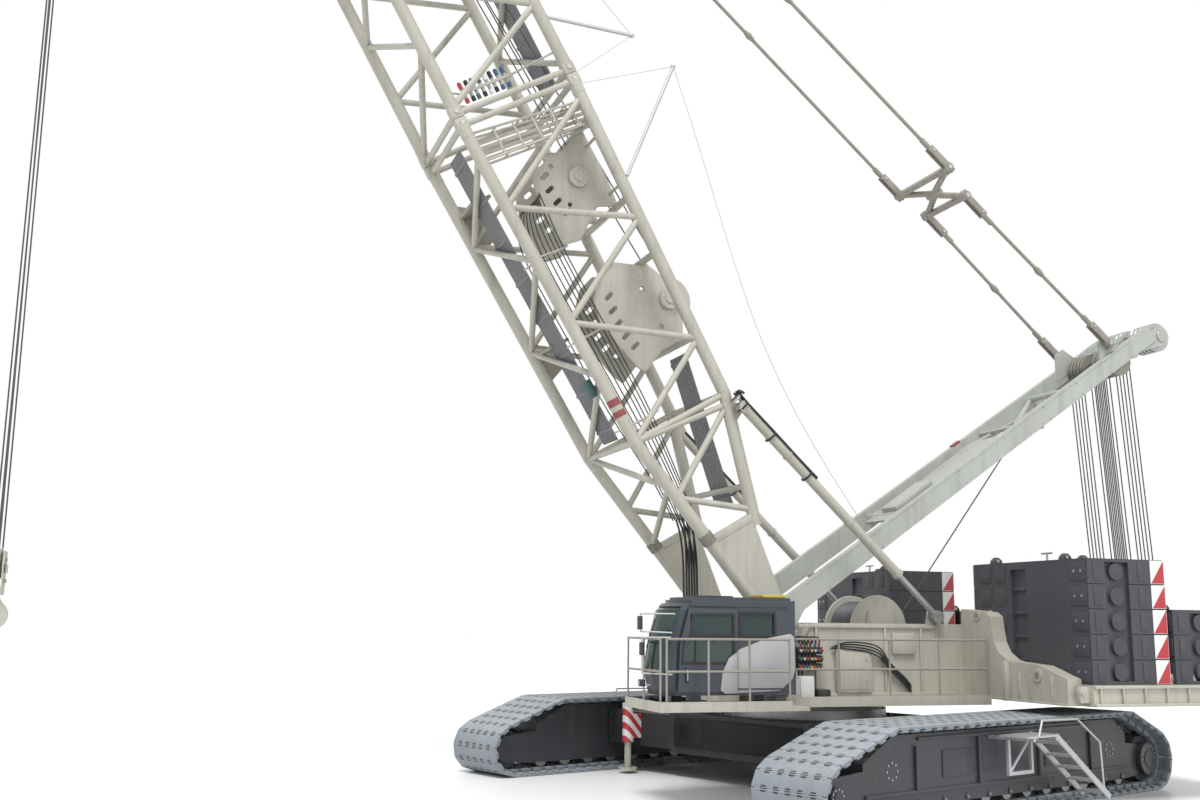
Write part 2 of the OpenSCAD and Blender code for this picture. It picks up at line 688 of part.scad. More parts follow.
// A railing from a to b over a floor at height z, with n posts that stand on the floor.
module railing(a, b, z, n) {
    for (i = [0:n - 1]) {
        p = a + (b - a) * i / (n - 1);
        strut([p[0], p[1], z + seat_gap], [p[0], p[1], z + rail_h], rail_r, 8);
    }
    for (h = [rail_h * 0.52, rail_h - rail_r]) strut([a[0], a[1], z + h], [b[0], b[1], z + h], rail_r, 8);
}

plat_y0 = -cab_front - cab_bulge - 110;
plat_y1 = -cab_back - 270;
rail_in = 20 + rail_r + seat_gap;

module cab_platform() color(beige) {
    block([deck_x + seat_gap, plat_y0, walk_z - 60], [walk_x, -cab_back + 60, walk_z]);
    block([walk_x - 20, plat_y0, walk_z - eps], [walk_x, plat_y1, walk_z + toe_h]);
    block([deck_x + 100, plat_y0, walk_z - eps], [walk_x, plat_y0 + 20, walk_z + toe_h]);
    block([deck_x + 200, plat_y0 + 200, support_z], [deck_x + 400, -cab_back, walk_z - 60 + eps]);
}

module side_walkway() color(beige) {
    x1 = deck_x + side_walk_w;
    y0 = -cab_back + 70;
    block([deck_x + seat_gap, y0, walk_z - 60], [x1, arm_y - 20, walk_z]);
    block([x1 - 20, y0, walk_z - eps], [x1, arm_y - 20, walk_z + 120]);
}

// Railings along the cab platform's side and front and along the walkway.
module railings() color(beige) {
    e = walk_x - rail_in;
    railing([e, plat_y0 + rail_in + 80], [e, plat_y1 - 30], walk_z, 4);
    railing([deck_x + 130, plat_y0 + rail_in], [e - 80, plat_y0 + rail_in], walk_z, 3);
    railing([deck_x + side_walk_w - rail_in, -cab_back + 110], [deck_x + side_walk_w - rail_in, arm_y - 60], walk_z, 5);
}

// Hollow hood on the far side, over the engine.
module power_pack() color(beige) difference() {
    block([-walk_x, pack_front, walk_z - 60], [-deck_x - seat_gap, arm_y - 20, girder_z - 60]);
    block([-walk_x + 40, pack_front + 40, walk_z], [-deck_x - 40, arm_y - 60, girder_z - 100]);
    for (i = [0:5]) block([-walk_x - eps, pack_front + 400 + i * 260, 2100],
        [-walk_x + 41, pack_front + 400 + i * 260 + 150, 2700]);
}

module engine_block() color(body_black)
    block([-walk_x + 400, -1400, walk_z + seat_gap], [-deck_x - 400, 900, girder_z - 500]);

module valve_bank() color(steel) {
    block([deck_x + 60, -1500, walk_z + seat_gap], [deck_x + 360, -1000, walk_z + 420]);
    for (i = [0:4])
        translate([deck_x + 210, -1420 + i * 85, walk_z + 420 - eps]) cylinder(r = 26, h = 130);
}

// Bearing cheeks of the luffing drum between the girders.
module winch_cheeks() color(beige) both()
    difference() {
        side_plate([[luff_y - 560, deck_z + deck_t + seat_gap], [luff_y + 560, deck_z + deck_t + seat_gap],
            [luff_y + 260, luff_z + 330], [luff_y - 260, luff_z + 330]], luff_w / 2 + run_gap, 70);
        x_bar(90 + pin_gap, 0, luff_w, luff_y, luff_z);
    }

// A rope drum along X: its barrel, two flanges and two stub axles.
module drum(w, r, flange_r, y, z, stub) {
    x_bar(r, -w / 2 + 40 - eps, w / 2 - 40 + eps, y, z);
    for (s = [-1, 1]) {
        x_bar(flange_r, s > 0 ? w / 2 - 40 : -w / 2, s > 0 ? w / 2 : -w / 2 + 40, y, z);
        x_bar(90, s > 0 ? w / 2 - eps : -w / 2 - stub, s > 0 ? w / 2 + stub : -w / 2 + eps, y, z);
    }
}

module luffing_drum() color(beige) drum(luff_w, 480, luff_flange_r, luff_y, luff_z, 70);

module tray() color(beige) {
    y0 = arm_y + arm_t;
    translate([0, 0, tray_z]) linear_extrude(tray_top - tray_z)
        polygon([[-stack_out - 20, y0], [-deck_x - 20, y0], [-deck_x - 20, deck_rear + seat_gap],
            [deck_x + 20, deck_rear + seat_gap], [deck_x + 20, y0], [stack_out + 20, y0],
            [stack_out + 20, y0 + tray_l], [-stack_out - 20, y0 + tray_l]]);
}

// A stack of n blocks with a groove at each joint, its front at y.
module stack(n, y) color(stack_grey) {
    w = stack_out - stack_in;
    outline = concat(
        [for (i = [0:n - 1]) each [[w, i * block_h], [w, (i + 1) * block_h - 16],
            [w - 25, (i + 1) * block_h - 16], [w - 25, (i + 1) * block_h]]],
        [for (i = [n - 1:-1:0]) each [[25, (i + 1) * block_h], [25, (i + 1) * block_h - 16],
            [0, (i + 1) * block_h - 16], [0, i * block_h]]]);
    difference() {
        translate([stack_in, y + stack_l, tray_top + seat_gap]) rotate([90, 0, 0])
            linear_extrude(stack_l) polygon(outline);
        // Slots for the lifting gear, in the front face and in the outer side.
        block([stack_in + 1170, y - eps, tray_top + 340], [stack_in + 1620, y + 70, tray_top + n * block_h - 140]);
        block([stack_out - 80, y + 380, tray_top + 60], [stack_out + eps, y + 900, tray_top + n * block_h - 60]);
    }
}

module stacks_front() both() stack(front_blocks, stack_front);
module stacks_rear() both() stack(rear_blocks, stack_rear);

// Bracing that runs to and fro along one face, starting on side k. Faces: 1 left, -1 right, 2 upper, -2 lower.
module zigzag(face, k, run) for (i = [0:len(run) - 2]) {
    a = i % 2 == 0 ? k : -k;
    gap = abs(face) == 1 ? node_gap : node_gap + face_gap;
    g = run[i + 1] > run[i] ? gap : -gap;
    u = run[i] + g;
    v = run[i + 1] - g;
    p = abs(face) == 1 ? chord(face, a, u) : chord(a, face / 2, u);
    q = abs(face) == 1 ? chord(face, -a, v) : chord(-a, face / 2, v);
    bar(p, q, twist = abs(face) == 1 ? side_twist : 0);
}

// The four chords between two stations.
module chords(u0, u1) for (s = [-1, 1], w = [-1, 1]) bar(chord(s, w, u0), chord(s, w, u1), chord_r, mesh_fn);

// Four tubes between the chords at one station.
module cross_frame(u) for (k = [-1, 1]) {
    bar(chord(-1, k, u), chord(1, k, u));
    bar(chord(k, -1, u), chord(k, 1, u));
}

// Square ends of the four chords where two sections are pinned: from u to the joint at u1.
module chord_ends(u, u1) for (s = [-1, 1], w = [-1, 1]) {
    c = chord(s, w, u);
    low = min(u, u1);
    e = chord_r + 10;
    block([c[0] - e, -max(u, u1), c[2] - e], [c[0] + e, -low, c[2] + e]);
}

// Solid foot plates with the bores of the foot pin, and the lugs of the backstops.
module boom_foot() color(beige) at_boom() {
    both() difference() {
        side_plate(concat(
            [[-foot_u, mid_v(foot_u) - half_v(foot_u) + 60], [-foot_u, mid_v(foot_u) + half_v(foot_u) - 60]],
            arc([0, 0], eye_r, 80, -80, 8)), boom_eye_x0, boom_eye_x1 - boom_eye_x0);
        x_bar(pin_r + pin_gap, 0, 2 * boom_x, 0, 0);
    }
}

module boom_base() color(beige) at_boom() {
    for (s = [-1, 1]) {
        for (w = [-1, 1]) bar(chord(s, w, foot_u + 110), chord(s, w, knee_u), chord_r, mesh_fn);
        block([min(s * boom_eye_x0, s * boom_eye_x1), -foot_u - 150, mid_v(foot_u) - half_v(foot_u)],
            [max(s * boom_eye_x0, s * boom_eye_x1), -foot_u - seat_gap, mid_v(foot_u) + half_v(foot_u)]);
        // Lug of a backstop
        side_plate([[-stop_u - 260, up_v(stop_u) - 20], [-stop_u + 260, up_v(stop_u) - 60], [-stop_u + 80, stop_v + 80],
            [-stop_u - 80, stop_v + 80]], s * (boom_x + 60) - 30, 60);
        // Pin that ends beside the eye of the backstop's rod
        x_bar(60, s > 0 ? boom_x + 60 : -stop_pin_x, s > 0 ? stop_pin_x : -boom_x - 60, -stop_u, stop_v);
    }
    bar(chord(-1, 1, 2900), chord(1, 1, 2900));
    for (face = [-1, 1]) {
        zigzag(face, -1, [knee_u, 4450, 3350, 2450]);
        zigzag(face, -1, base_run);
    }
    zigzag(-2, -1, [knee_u, 3600, 2450]);
    zigzag(-2, -1, base_low_run);
    chords(knee_u, base_l - 90);
    for (u = [knee_u, base_l - 90]) cross_frame(u);
    for (u = [hoists[0][0], hoists[0][1], hoists[1][0], hoists[1][1]])
        block([-boom_x, -u - beam_t / 2, up_v(u) - beam_t / 2], [boom_x, -u + beam_t / 2, up_v(u) + beam_t / 2]);
    chord_ends(base_l - 120, base_l - seat_gap / 2);
}

module boom_middle() color(beige) at_boom() {
    a = base_l + 90;
    b = base_l + mid_l - 90;
    run = [for (i = [0:7]) a + 160 + (b - a - 320) * i / 7];
    for (face = [-1, 1, 2, -2]) zigzag(face, face > 1 || face == -1 ? 1 : -1, run);
    chords(a, b);
    for (u = [a, b]) cross_frame(u);
    chord_ends(a + 30, base_l + seat_gap / 2);
    chord_ends(b - 30, base_l + mid_l - seat_gap / 2);
}

module boom_top() color(beige) at_boom() {
    a = base_l + mid_l + 90;
    b = boom_l - 800;
    run = [for (i = [0:5]) a + 160 + (b - a - 320) * i / 5];
    for (face = [-1, 1, 2, -2]) zigzag(face, face > 1 || face == -1 ? 1 : -1, run);
    chords(a, b);
    for (u = [a + 10, b - 10]) cross_frame(u);
    chord_ends(a + 30, base_l + mid_l + seat_gap / 2);
    chord_ends(b - 30, boom_l - 690 - seat_gap);
}

// Head plates with the bores of the sheave shaft and of a fly jib's pins.
module boom_head() color(beige) at_boom() {
    u0 = boom_l - 690;
    v = mid_v(boom_l);
    both() difference() {
        side_plate([[-u0, v - 560], [-u0, v + 560], [-boom_l - 300, v + 1200], [-boom_l - 500, v + 1150],
            [-boom_l - 250, v + 300], [-boom_l - 330, v + sheave_off - 160], [-boom_l, v + sheave_off - 260]],
            head_x - 50, 50);
        x_bar(70 + pin_gap, 0, 2 * boom_x, -boom_l, v + sheave_off);
        x_bar(jib_r, 0, 2 * boom_x, -boom_l - 100, v + 250);
        x_bar(pendant_pin_r + pin_gap, 0, 2 * boom_x, -boom_l - 370, v + 1070);
    }
}

// Boards of the walkways between the chords: plane, start and end along the boom.
catwalk_runs = [[1, base_l + 200, base_l + mid_l - 300], [-1, 4800, base_l - 300], [1, 2600, 4500]];

module catwalk() color(slate) at_boom()
    for (run = catwalk_runs) {
        w = run[0];
        lift = brace_r + seat_gap;
        v0 = mid_v(run[1]) + w * half_v(run[1]) + lift;
        v1 = mid_v(run[2]) + w * half_v(run[2]) + lift;
        side_plate([[-run[1], v0], [-run[2], v1], [-run[2], v1 + 35], [-run[1], v0 + 35]], -walk_half, 2 * walk_half);
    }

// Height of the upper chords over the foot pin's line.
function up_v(u) = mid_v(u) + half_v(u);

module hoist_frames() color(beige) at_boom() both()
    for (i = [0, 1]) difference() {
        h = hoists[i];
        u0 = h[0] + beam_t / 2 + seat_gap;
        u1 = h[1] - beam_t / 2 - seat_gap;
        top = max(h[3] + 200, up_v(h[1]) + beam_t / 2);
        edge = [for (p = hoist_edges[i]) [-p[0], p[1]]];
        side_plate(concat([[-u0, up_v(h[0]) + beam_t / 2], [-u0, up_v(h[0]) - beam_t / 2]], edge,
            [[-u1, up_v(h[1]) - beam_t / 2 - seat_gap], [-u1, up_v(h[1]) + beam_t / 2],
            [-h[2] - 250, top], [-h[2] + 250, top]]), hoist_w / 2 + run_gap, 70);
        x_bar(90 + pin_gap, 0, hoist_w, -h[2], h[3]);
    }

module hoist_drum(h) color(steel) at_boom() drum(hoist_w, 330, h[4], -h[2], h[3], 70);
module hoist_drum_lower() hoist_drum(hoists[0]);
module hoist_drum_upper() hoist_drum(hoists[1]);

// Distance from a sheave's centre to the middle of a rope that lies in its V groove.
function rope_seat(r, w) = r - w * groove_part + (rope_r + seat_gap) / sin(atan(0.5 / groove_part));

// A rope sheave across X at x, with a V groove in its rim.
module sheave(r, w, x, hub) translate([x, 0, 0]) rotate([0, 90, 0])
    rotate_extrude($fn = 96) polygon([[hub, -w / 2], [r, -w / 2], [r - w * groove_part, 0], [r, w / 2], [hub, w / 2]]);

module head_sheaves() color(steel) at_boom() translate([0, -boom_l, boom_off + sheave_off]) {
    x_bar(70, -head_x, head_x, 0, 0);
    x_bar(140, -head_x + 50 + run_gap, head_x - 50 - run_gap, 0, 0);
    for (s = [-1, 1], x = [line_x - line_gap, line_x + line_gap]) sheave(sheave_r, head_sheave_w, s * x, 135);
}

// World [y, z] of a point of the boom, and of a point of the mast.
function boom_yz(u, v) = [-pivot_y - u * cos(boom_a) + v * sin(boom_a), pivot_z + u * sin(boom_a) + v * cos(boom_a)];
function mast_yz(y, z) = [-pivot_y + y * cos(mast_a) - z * sin(mast_a), pivot_z + y * sin(mast_a) + z * cos(mast_a)];

// Pendant bars from the boom's head over the yoke to the mast.
module pendants() color(beige) {
    top = boom_yz(boom_l + 370, boom_off + 1070);
    low = mast_yz(mast_lug_y, mast_lug_z);
    t = (top - low) / norm(top - low);
    y0 = low + t * yoke_dist;
    y1 = low + t * (yoke_dist + yoke_len);
    mid = (y0 + y1) / 2;
    for (s = [-1, 1]) {
        strut([s * pendant_x, low[0] + 0, low[1]], [s * yoke_low_x, y0[0], y0[1]], pendant_r, 16);
        strut([s * yoke_high_x, y1[0], y1[1]], [s * head_lug_x, top[0], top[1]], pendant_r, 16);
        strut([s * yoke_low_x, y0[0], y0[1]], [-s * 60, mid[0], mid[1]], 70, 16);
        strut([s * yoke_high_x, y1[0], y1[1]], [-s * 60, mid[0], mid[1]], 70, 16);
        x_bar(95, s > 0 ? yoke_low_x - 90 : -yoke_low_x - 90, s > 0 ? yoke_low_x + 90 : -yoke_low_x + 90, y0[0], y0[1]);
        x_bar(95, s > 0 ? yoke_high_x - 90 : -yoke_high_x - 90, s > 0 ? yoke_high_x + 90 : -yoke_high_x + 90, y1[0], y1[1]);
        x_bar(90, s > 0 ? pendant_x - 60 : -pendant_x - 60, s > 0 ? pendant_x + 60 : -pendant_x + 60, low[0], low[1]);
        x_bar(90, s > 0 ? head_x + seat_gap : -head_lug_x - 60, s > 0 ? head_lug_x + 60 : -head_x - seat_gap, top[0], top[1]);
    }
    x_bar(80, -220, 220, mid[0], mid[1]);
}

// Middle of a mast leg at distance y from its foot, and its height over the pin line.
function leg_x(y) = mast_foot_x + (mast_head_x - mast_foot_x) * y / mast_len;
function leg_z(y) = mast_lift + (mast_head_lift - mast_lift) * y / mast_len;

// Two box legs with their foot eyes, cross tubes and head plates.
module mast_frame() color(beige) at_mast() {
    end_d = leg_d * 0.9;
    for (s = [-1, 1]) difference() {
        union() {
            hull() {
                translate([s * mast_foot_x - leg_w / 2, 300, mast_lift - leg_d / 2]) cube([leg_w, 1, leg_d]);
                translate([s * mast_head_x - leg_w / 2, mast_len - 200, mast_head_lift - end_d / 2])
                    cube([leg_w, 1, end_d]);
            }
            side_plate(concat([[900, leg_z(900) - 190], [900, leg_z(900) + 190]], arc([0, 0], eye_r, 110, 290, 8)),
                s * mast_foot_x - leg_w / 2 + 5, leg_w - 10);
            side_plate(concat([[mast_len - 900, mast_head_lift + 130], [mast_len - 900, mast_head_lift - 150]],
                arc([mast_len, 0], 220, -90, 90, 8)), s * mast_head_x - 40, 80);
            side_plate([[mast_lug_y - 500, mast_head_lift], [mast_lug_y + 400, mast_head_lift],
                [mast_lug_y + 120, mast_lug_z + 120], [mast_lug_y - 120, mast_lug_z + 120]],
                s > 0 ? mast_head_x - 60 : -mast_head_x, 60);
        }
        translate([-2000, 0, 0]) x_bar(pin_r + pin_gap, 0, 4000, 0, 0);
        translate([-2000, 0, 0]) x_bar(60 + pin_gap, 0, 4000, mast_len, 0);
    }
    for (y = cross_ys) x_bar(75, -leg_x(y), leg_x(y), y, leg_z(y));
    for (i = [0, 1], s = [-1, 1])
        strut([s * leg_x(cross_ys[i]), cross_ys[i], leg_z(cross_ys[i])],
            [-s * leg_x(cross_ys[i + 1]), cross_ys[i + 1], leg_z(cross_ys[i + 1])], 50, 12);
    for (s = [-1, 1])
        x_bar(34, s > 0 ? mast_head_x - 10 : -pendant_x + 60 + open_gap, s > 0 ? pendant_x - 60 - open_gap : -mast_head_x + 10,
            mast_lug_y, mast_lug_z);
}
cross_ys = [4200, 7000, 9400];

module mast_sheaves() color(steel) at_mast() translate([0, mast_len, 0]) {
    x_bar(60, -mast_head_x - 40, mast_head_x + 40, 0, 0);
    x_bar(120, -mast_head_x + 40 + run_gap, mast_head_x - 40 - run_gap, 0, 0);
    for (s = [-1, 1], i = [0:4]) sheave(mast_sheave_r, 62, s * (200 + i * 110), 115);
}

// Telescopic backstops between the girders and the boom's upper chords.
function stop_a() = let (e = boom_yz(stop_u, stop_v)) atan2(e[1] - stop_z, e[0] - stop_y);
function stop_len() = let (e = boom_yz(stop_u, stop_v)) norm([e[1] - stop_z, e[0] - stop_y]);

module at_stop() both() translate([stop_x, stop_y, stop_z]) rotate([stop_a(), 0, 0]) children();

// The thick tube hangs from the boom, and slides over the rod that stands on the deck.
module backstop_tubes() color(beige) at_stop() difference() {
    union() {
        translate([0, stop_bare, 0]) rotate([-90, 0, 0]) cylinder(r = stop_r, h = stop_len() - stop_bare - 60);
        x_bar(stop_r + 20, -stop_r + run_gap, stop_r - run_gap, stop_len(), 0);
    }
    translate([0, stop_bare - eps, 0]) rotate([-90, 0, 0]) cylinder(r = stop_rod_r + pin_gap, h = stop_bore + eps);
}

module backstop_rods() color(steel) at_stop() difference() {
    union() {
        rotate([-90, 0, 0]) cylinder(r = stop_rod_r, h = stop_bare + stop_in);
        x_bar(120, -stop_r * 0.8, stop_r * 0.8, 0, 0);
    }
    x_bar(60 + pin_gap, -200, 200, 0, 0);
}

// Lines from the head sheaves to the hook block.
module hoist_ropes() color(body_black) for (s = [-1, 1], k = [-1, 1])
    strut([s * (line_x + k * line_gap), rope_y, head_z], [s * rope_seat(block_r, block_sheave_w), rope_y + k * block_gap, hook_z],
        rope_r, 12);

// Cheeks, sheaves and cross head of the hook block.
module hook_block() color(beige) translate([0, rope_y, hook_z]) {
    for (k = [-1, 1]) {
        rotate([0, 0, 90]) sheave(block_r, block_sheave_w, k * block_gap, 50);
        translate([0, k * 120 - 12, 0]) rotate([90, 0, 0]) translate([0, 0, -24])
            linear_extrude(24) polygon([[-180, 200], [180, 200], [240, 0], [150, -520], [-150, -520], [-240, 0]]);
    }
    rotate([90, 0, 0]) translate([0, 0, -150]) cylinder(r = 55, h = 300);
    difference() {
        translate([-130, -108, -520]) cube([260, 216, 120]);
        translate([0, 0, -530]) cylinder(r = 50 + pin_gap, h = 140);
    }
}

// Hook on its swivel shank.
module hook() color(beige) translate([0, rope_y, hook_z - 520]) {
    translate([0, 0, -120]) cylinder(r = 50, h = 260);
    translate([0, 0, 120 + seat_gap]) cylinder(r = 80, h = 40);
    translate([-hook_t / 2, 0, 0]) side_plate(concat(
        [[-60, 0], [60, 0]], arc([0, -330], 240, 55, -200, 14), arc([0, -330], 120, -180, 60, 10),
        [[-60, -150]]), 0, hook_t);
}

carbody();
slewing_ring();
side_frame_left();
side_frame_right();
track_left();
track_right();
rollers();
access_steps();
jack_tubes();
drive_wheel_left();
drive_wheel_right();
idler_left();
idler_right();
jack_front_left();
jack_front_right();
jack_rear_left();
jack_rear_right();
deck_frame();
rear_arms();
cab_shell();
cab_roof();
cab_glass();
operator_seat();
cab_platform();
side_walkway();
railings();
power_pack();
engine_block();
valve_bank();
winch_cheeks();
tray();
stacks_front();
stacks_rear();
cab_door();
luffing_drum();
boom_foot();
boom_base();
boom_middle();
boom_top();
boom_head();
catwalk();
hoist_frames();
pendants();
hoist_drum_lower();
hoist_drum_upper();
head_sheaves();
mast_frame();
mast_sheaves();
backstop_tubes();
backstop_rods();
hoist_ropes();
hook_block();
hook();
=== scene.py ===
"""Looks of a lattice boom crawler crane, built round its construction frame.

Metres, +Z up. The superstructure and the boom face -Y, the cab side is +X, and the crawlers stand turned
about +Z. The boom has its own frame: x across, u along it from its foot pin, v towards its upper chords.
"""

import json
import math
import random

import bmesh
import bpy
from bpy.props import FloatProperty, FloatVectorProperty, IntProperty, PointerProperty
from mathutils import Matrix, Vector


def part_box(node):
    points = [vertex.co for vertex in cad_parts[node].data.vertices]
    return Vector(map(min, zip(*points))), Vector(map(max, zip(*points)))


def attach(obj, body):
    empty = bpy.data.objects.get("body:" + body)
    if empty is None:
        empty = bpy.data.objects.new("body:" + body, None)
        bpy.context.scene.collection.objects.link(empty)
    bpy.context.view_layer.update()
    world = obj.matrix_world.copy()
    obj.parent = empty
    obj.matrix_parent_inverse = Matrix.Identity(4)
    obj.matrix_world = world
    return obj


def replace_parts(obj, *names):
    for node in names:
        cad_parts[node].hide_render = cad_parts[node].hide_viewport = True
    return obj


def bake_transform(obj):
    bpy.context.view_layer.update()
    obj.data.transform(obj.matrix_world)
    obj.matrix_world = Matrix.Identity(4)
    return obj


bl_info = {
    "name": "Crawler Crane",
    "version": (1, 0, 0),
    "blender": (4, 5, 0),
    "location": "3D View > Sidebar > Crane",
    "description": "Dresses a lattice boom crawler crane on its construction frame",
    "category": "Object",
}

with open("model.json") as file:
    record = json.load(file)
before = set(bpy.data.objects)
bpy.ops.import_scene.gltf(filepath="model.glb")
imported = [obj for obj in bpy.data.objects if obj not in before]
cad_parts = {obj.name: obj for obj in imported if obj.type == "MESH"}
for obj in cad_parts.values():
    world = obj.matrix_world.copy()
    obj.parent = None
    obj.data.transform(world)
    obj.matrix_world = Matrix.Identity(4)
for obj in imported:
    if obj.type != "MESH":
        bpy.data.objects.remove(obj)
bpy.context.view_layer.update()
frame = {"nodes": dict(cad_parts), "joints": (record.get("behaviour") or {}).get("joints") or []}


# Places on the frame

def joint_place(name):
    """The point that a joint of the frame turns about."""
    return Vector(next(j["pos_m"] for j in frame["joints"] if j["name"] == name))


def joint_axis(name):
    """The direction of a joint of the frame."""
    return Vector(next(j["axis"] for j in frame["joints"] if j["name"] == name))


WHEEL_AXIS = joint_axis("drive_wheel_left_spin")
SLEW = math.atan2(WHEEL_AXIS.y, WHEEL_AXIS.x)
TURNED = Matrix.Rotation(SLEW, 4, "Z")
UNTURNED = TURNED.inverted()
REAR_WHEEL = UNTURNED @ joint_place("drive_wheel_left_spin")
FRONT_WHEEL = UNTURNED @ joint_place("idler_left_spin")
FOOT_PIN = joint_place("luff")
BOOM_ANGLE = math.radians(60.4)
BOOM = Matrix.Translation(FOOT_PIN) @ Matrix.Rotation(-BOOM_ANGLE, 4, "X")
MAST_HEAD = joint_place("mast_sheaves_spin")
MAST_ANGLE = math.atan2(MAST_HEAD.z - FOOT_PIN.z, MAST_HEAD.y - FOOT_PIN.y)
MAST_LENGTH = (MAST_HEAD - FOOT_PIN).length
MAST = Matrix.Translation(FOOT_PIN) @ Matrix.Rotation(MAST_ANGLE, 4, "X")
STOP_FOOT = joint_place("backstop_swing")
STOP_FOOT_X = 1.65
LUFF_DRUM = joint_place("luffing_drum_spin")
WORLD = Matrix.Identity(4)
SIDES = ((1, "left"), (-1, "right"))


def on_boom(x, u, v):
    """A point of the boom in its own frame, whose Y runs down the boom."""
    return Vector((x, -u, v))


# Shape of the boom

BASE_END = 11.5
MIDDLE_END = 20.2
BOOM_END = 27.2
KNEE = 4.65
CHORD_X = 1.35
CENTRE_LIFT = 0.22
CHORD_DEPTHS = ((0.0, 0.0), (KNEE, 1.06), (BASE_END, 1.25), (MIDDLE_END, 1.25), (BOOM_END, 0.45))
TIP_X = 0.62


def half_depth(u):
    """Half depth between the chords at u."""
    for (u0, d0), (u1, d1) in zip(CHORD_DEPTHS, CHORD_DEPTHS[1:]):
        if u <= u1:
            return d0 + (d1 - d0) * (u - u0) / (u1 - u0)
    return CHORD_DEPTHS[-1][1]


def half_width(u):
    """Half width between the chords at u."""
    if u <= MIDDLE_END:
        return CHORD_X
    return CHORD_X + (TIP_X - CHORD_X) * (u - MIDDLE_END) / (BOOM_END - MIDDLE_END)


def middle_line(u):
    """Height of the boom's centre line, which drops to the foot pin below the knee."""
    return CENTRE_LIFT * min(u / KNEE, 1.0)


def upper_edge(u):
    """Height of the upper chords' centres."""
    return middle_line(u) + half_depth(u)


def lower_edge(u):
    """Height of the lower chords' centres."""
    return middle_line(u) - half_depth(u)


def chord(side, face, u):
    """A point on a chord: side -1 or 1 across, face 1 on the upper and -1 on the lower chords."""
    return on_boom(side * half_width(u), u, middle_line(u) + face * half_depth(u))


# Mesh tools

CHAMFER = 0.006


def tint(verts, index):
    """Gives the faces of new vertices a material of their piece."""
    for vert in verts:
        for face in vert.link_faces:
            face.material_index = index


def tube(bm, a, b, radius, sides=12, index=0):
    """A round bar from a to b."""
    a, b = Vector(a), Vector(b)
    turn = (b - a).to_track_quat("Z", "Y").to_matrix().to_4x4()
    made = bmesh.ops.create_cone(
        bm, cap_ends=True, segments=sides, radius1=radius, radius2=radius, depth=(b - a).length,
        matrix=Matrix.Translation((a + b) / 2) @ turn)
    tint(made["verts"], index)


def pin(bm, start, end, y, z, radius, sides=12, index=0):
    """A round bar along x at (y, z)."""
    tube(bm, (start, y, z), (end, y, z), radius, sides, index)


def ball(bm, centre, radius, index=0, rings=8):
    """A round knob."""
    made = bmesh.ops.create_uvsphere(
        bm, u_segments=rings * 2, v_segments=rings, radius=radius, matrix=Matrix.Translation(Vector(centre)))
    tint(made["verts"], index)


def soften(bm, verts, width, segments=2):
    """Rounds the edges among some vertices."""
    inside = set(verts)
    edges = {e for v in verts for e in v.link_edges if e.verts[0] in inside and e.verts[1] in inside}
    bmesh.ops.bevel(
        bm, geom=list(edges), offset=width, offset_type="OFFSET", segments=segments, profile=0.5,
        affect="EDGES", material=-1, clamp_overlap=True)


def block(bm, a, b, index=0, edge=0.0, segments=2):
    """A box between two opposite corners, with its edges rounded if asked."""
    a, b = Vector(a), Vector(b)
    size = Matrix.Diagonal((*(abs(q - p) for p, q in zip(a, b)), 1.0))
    verts = bmesh.ops.create_cube(bm, size=1.0, matrix=Matrix.Translation((a + b) / 2) @ size)["verts"]
    tint(verts, index)
    if edge:
        soften(bm, verts, edge, segments)


def beam(bm, a, b, width, depth, index=0, edge=0.0, up=(0, 0, 1)):
    """A box bar from a to b: width across, depth towards up."""
    a, b = Vector(a), Vector(b)
    along = (b - a).normalized()
    side = along.cross(Vector(up)).normalized()
    top = side.cross(along)
    turn = Matrix((side, along, top)).transposed().to_4x4()
    size = Matrix.Diagonal((width, (b - a).length, depth, 1.0))
    verts = bmesh.ops.create_cube(bm, size=1.0, matrix=Matrix.Translation((a + b) / 2) @ turn @ size)["verts"]
    tint(verts, index)
    if edge:
        soften(bm, verts, edge)


def plate(bm, outline, start, end, index=0, edge=0.0):
    """A plate with an outline of (y, z) points, between two places along x."""
    low, high = sorted((start, end))
    verts = [bm.verts.new((low, y, z)) for y, z in outline]
    made = bmesh.ops.extrude_face_region(bm, geom=[bm.faces.new(verts)])["geom"]
    far = [g for g in made if isinstance(g, bmesh.types.BMVert)]
    bmesh.ops.translate(bm, verts=far, vec=(high - low, 0, 0))
    both = verts + far
    bmesh.ops.recalc_face_normals(bm, faces=list({f for v in both for f in v.link_faces}))
    tint(both, index)
    if edge:
        soften(bm, both, edge)


def stamp(bm, mesh, place):
    """Adds a copy of a small mesh at a place."""
    first = len(bm.verts)
    bm.from_mesh(mesh)
    bm.verts.ensure_lookup_table()
    bmesh.ops.transform(bm, matrix=place, verts=bm.verts[first:])


def small_mesh(name, build):
    """A mesh for stamping, made by a function that fills a bmesh."""
    bm = bmesh.new()
    build(bm)
    mesh = bpy.data.meshes.new(name)
    bm.to_mesh(mesh)
    bm.free()
    return mesh


def bolt_ring(bm, centre, axis, radius, count, size, index=0):
    """Hexagon bolt heads on a circle about an axis."""
    axis = Vector(axis).normalized()
    first = axis.orthogonal().normalized()
    for step in range(count):
        arm = Matrix.Rotation(math.tau * step / count, 3, axis) @ first
        foot = Vector(centre) + arm * radius
        tube(bm, foot, foot + axis * size * 0.6, size, 6, index)


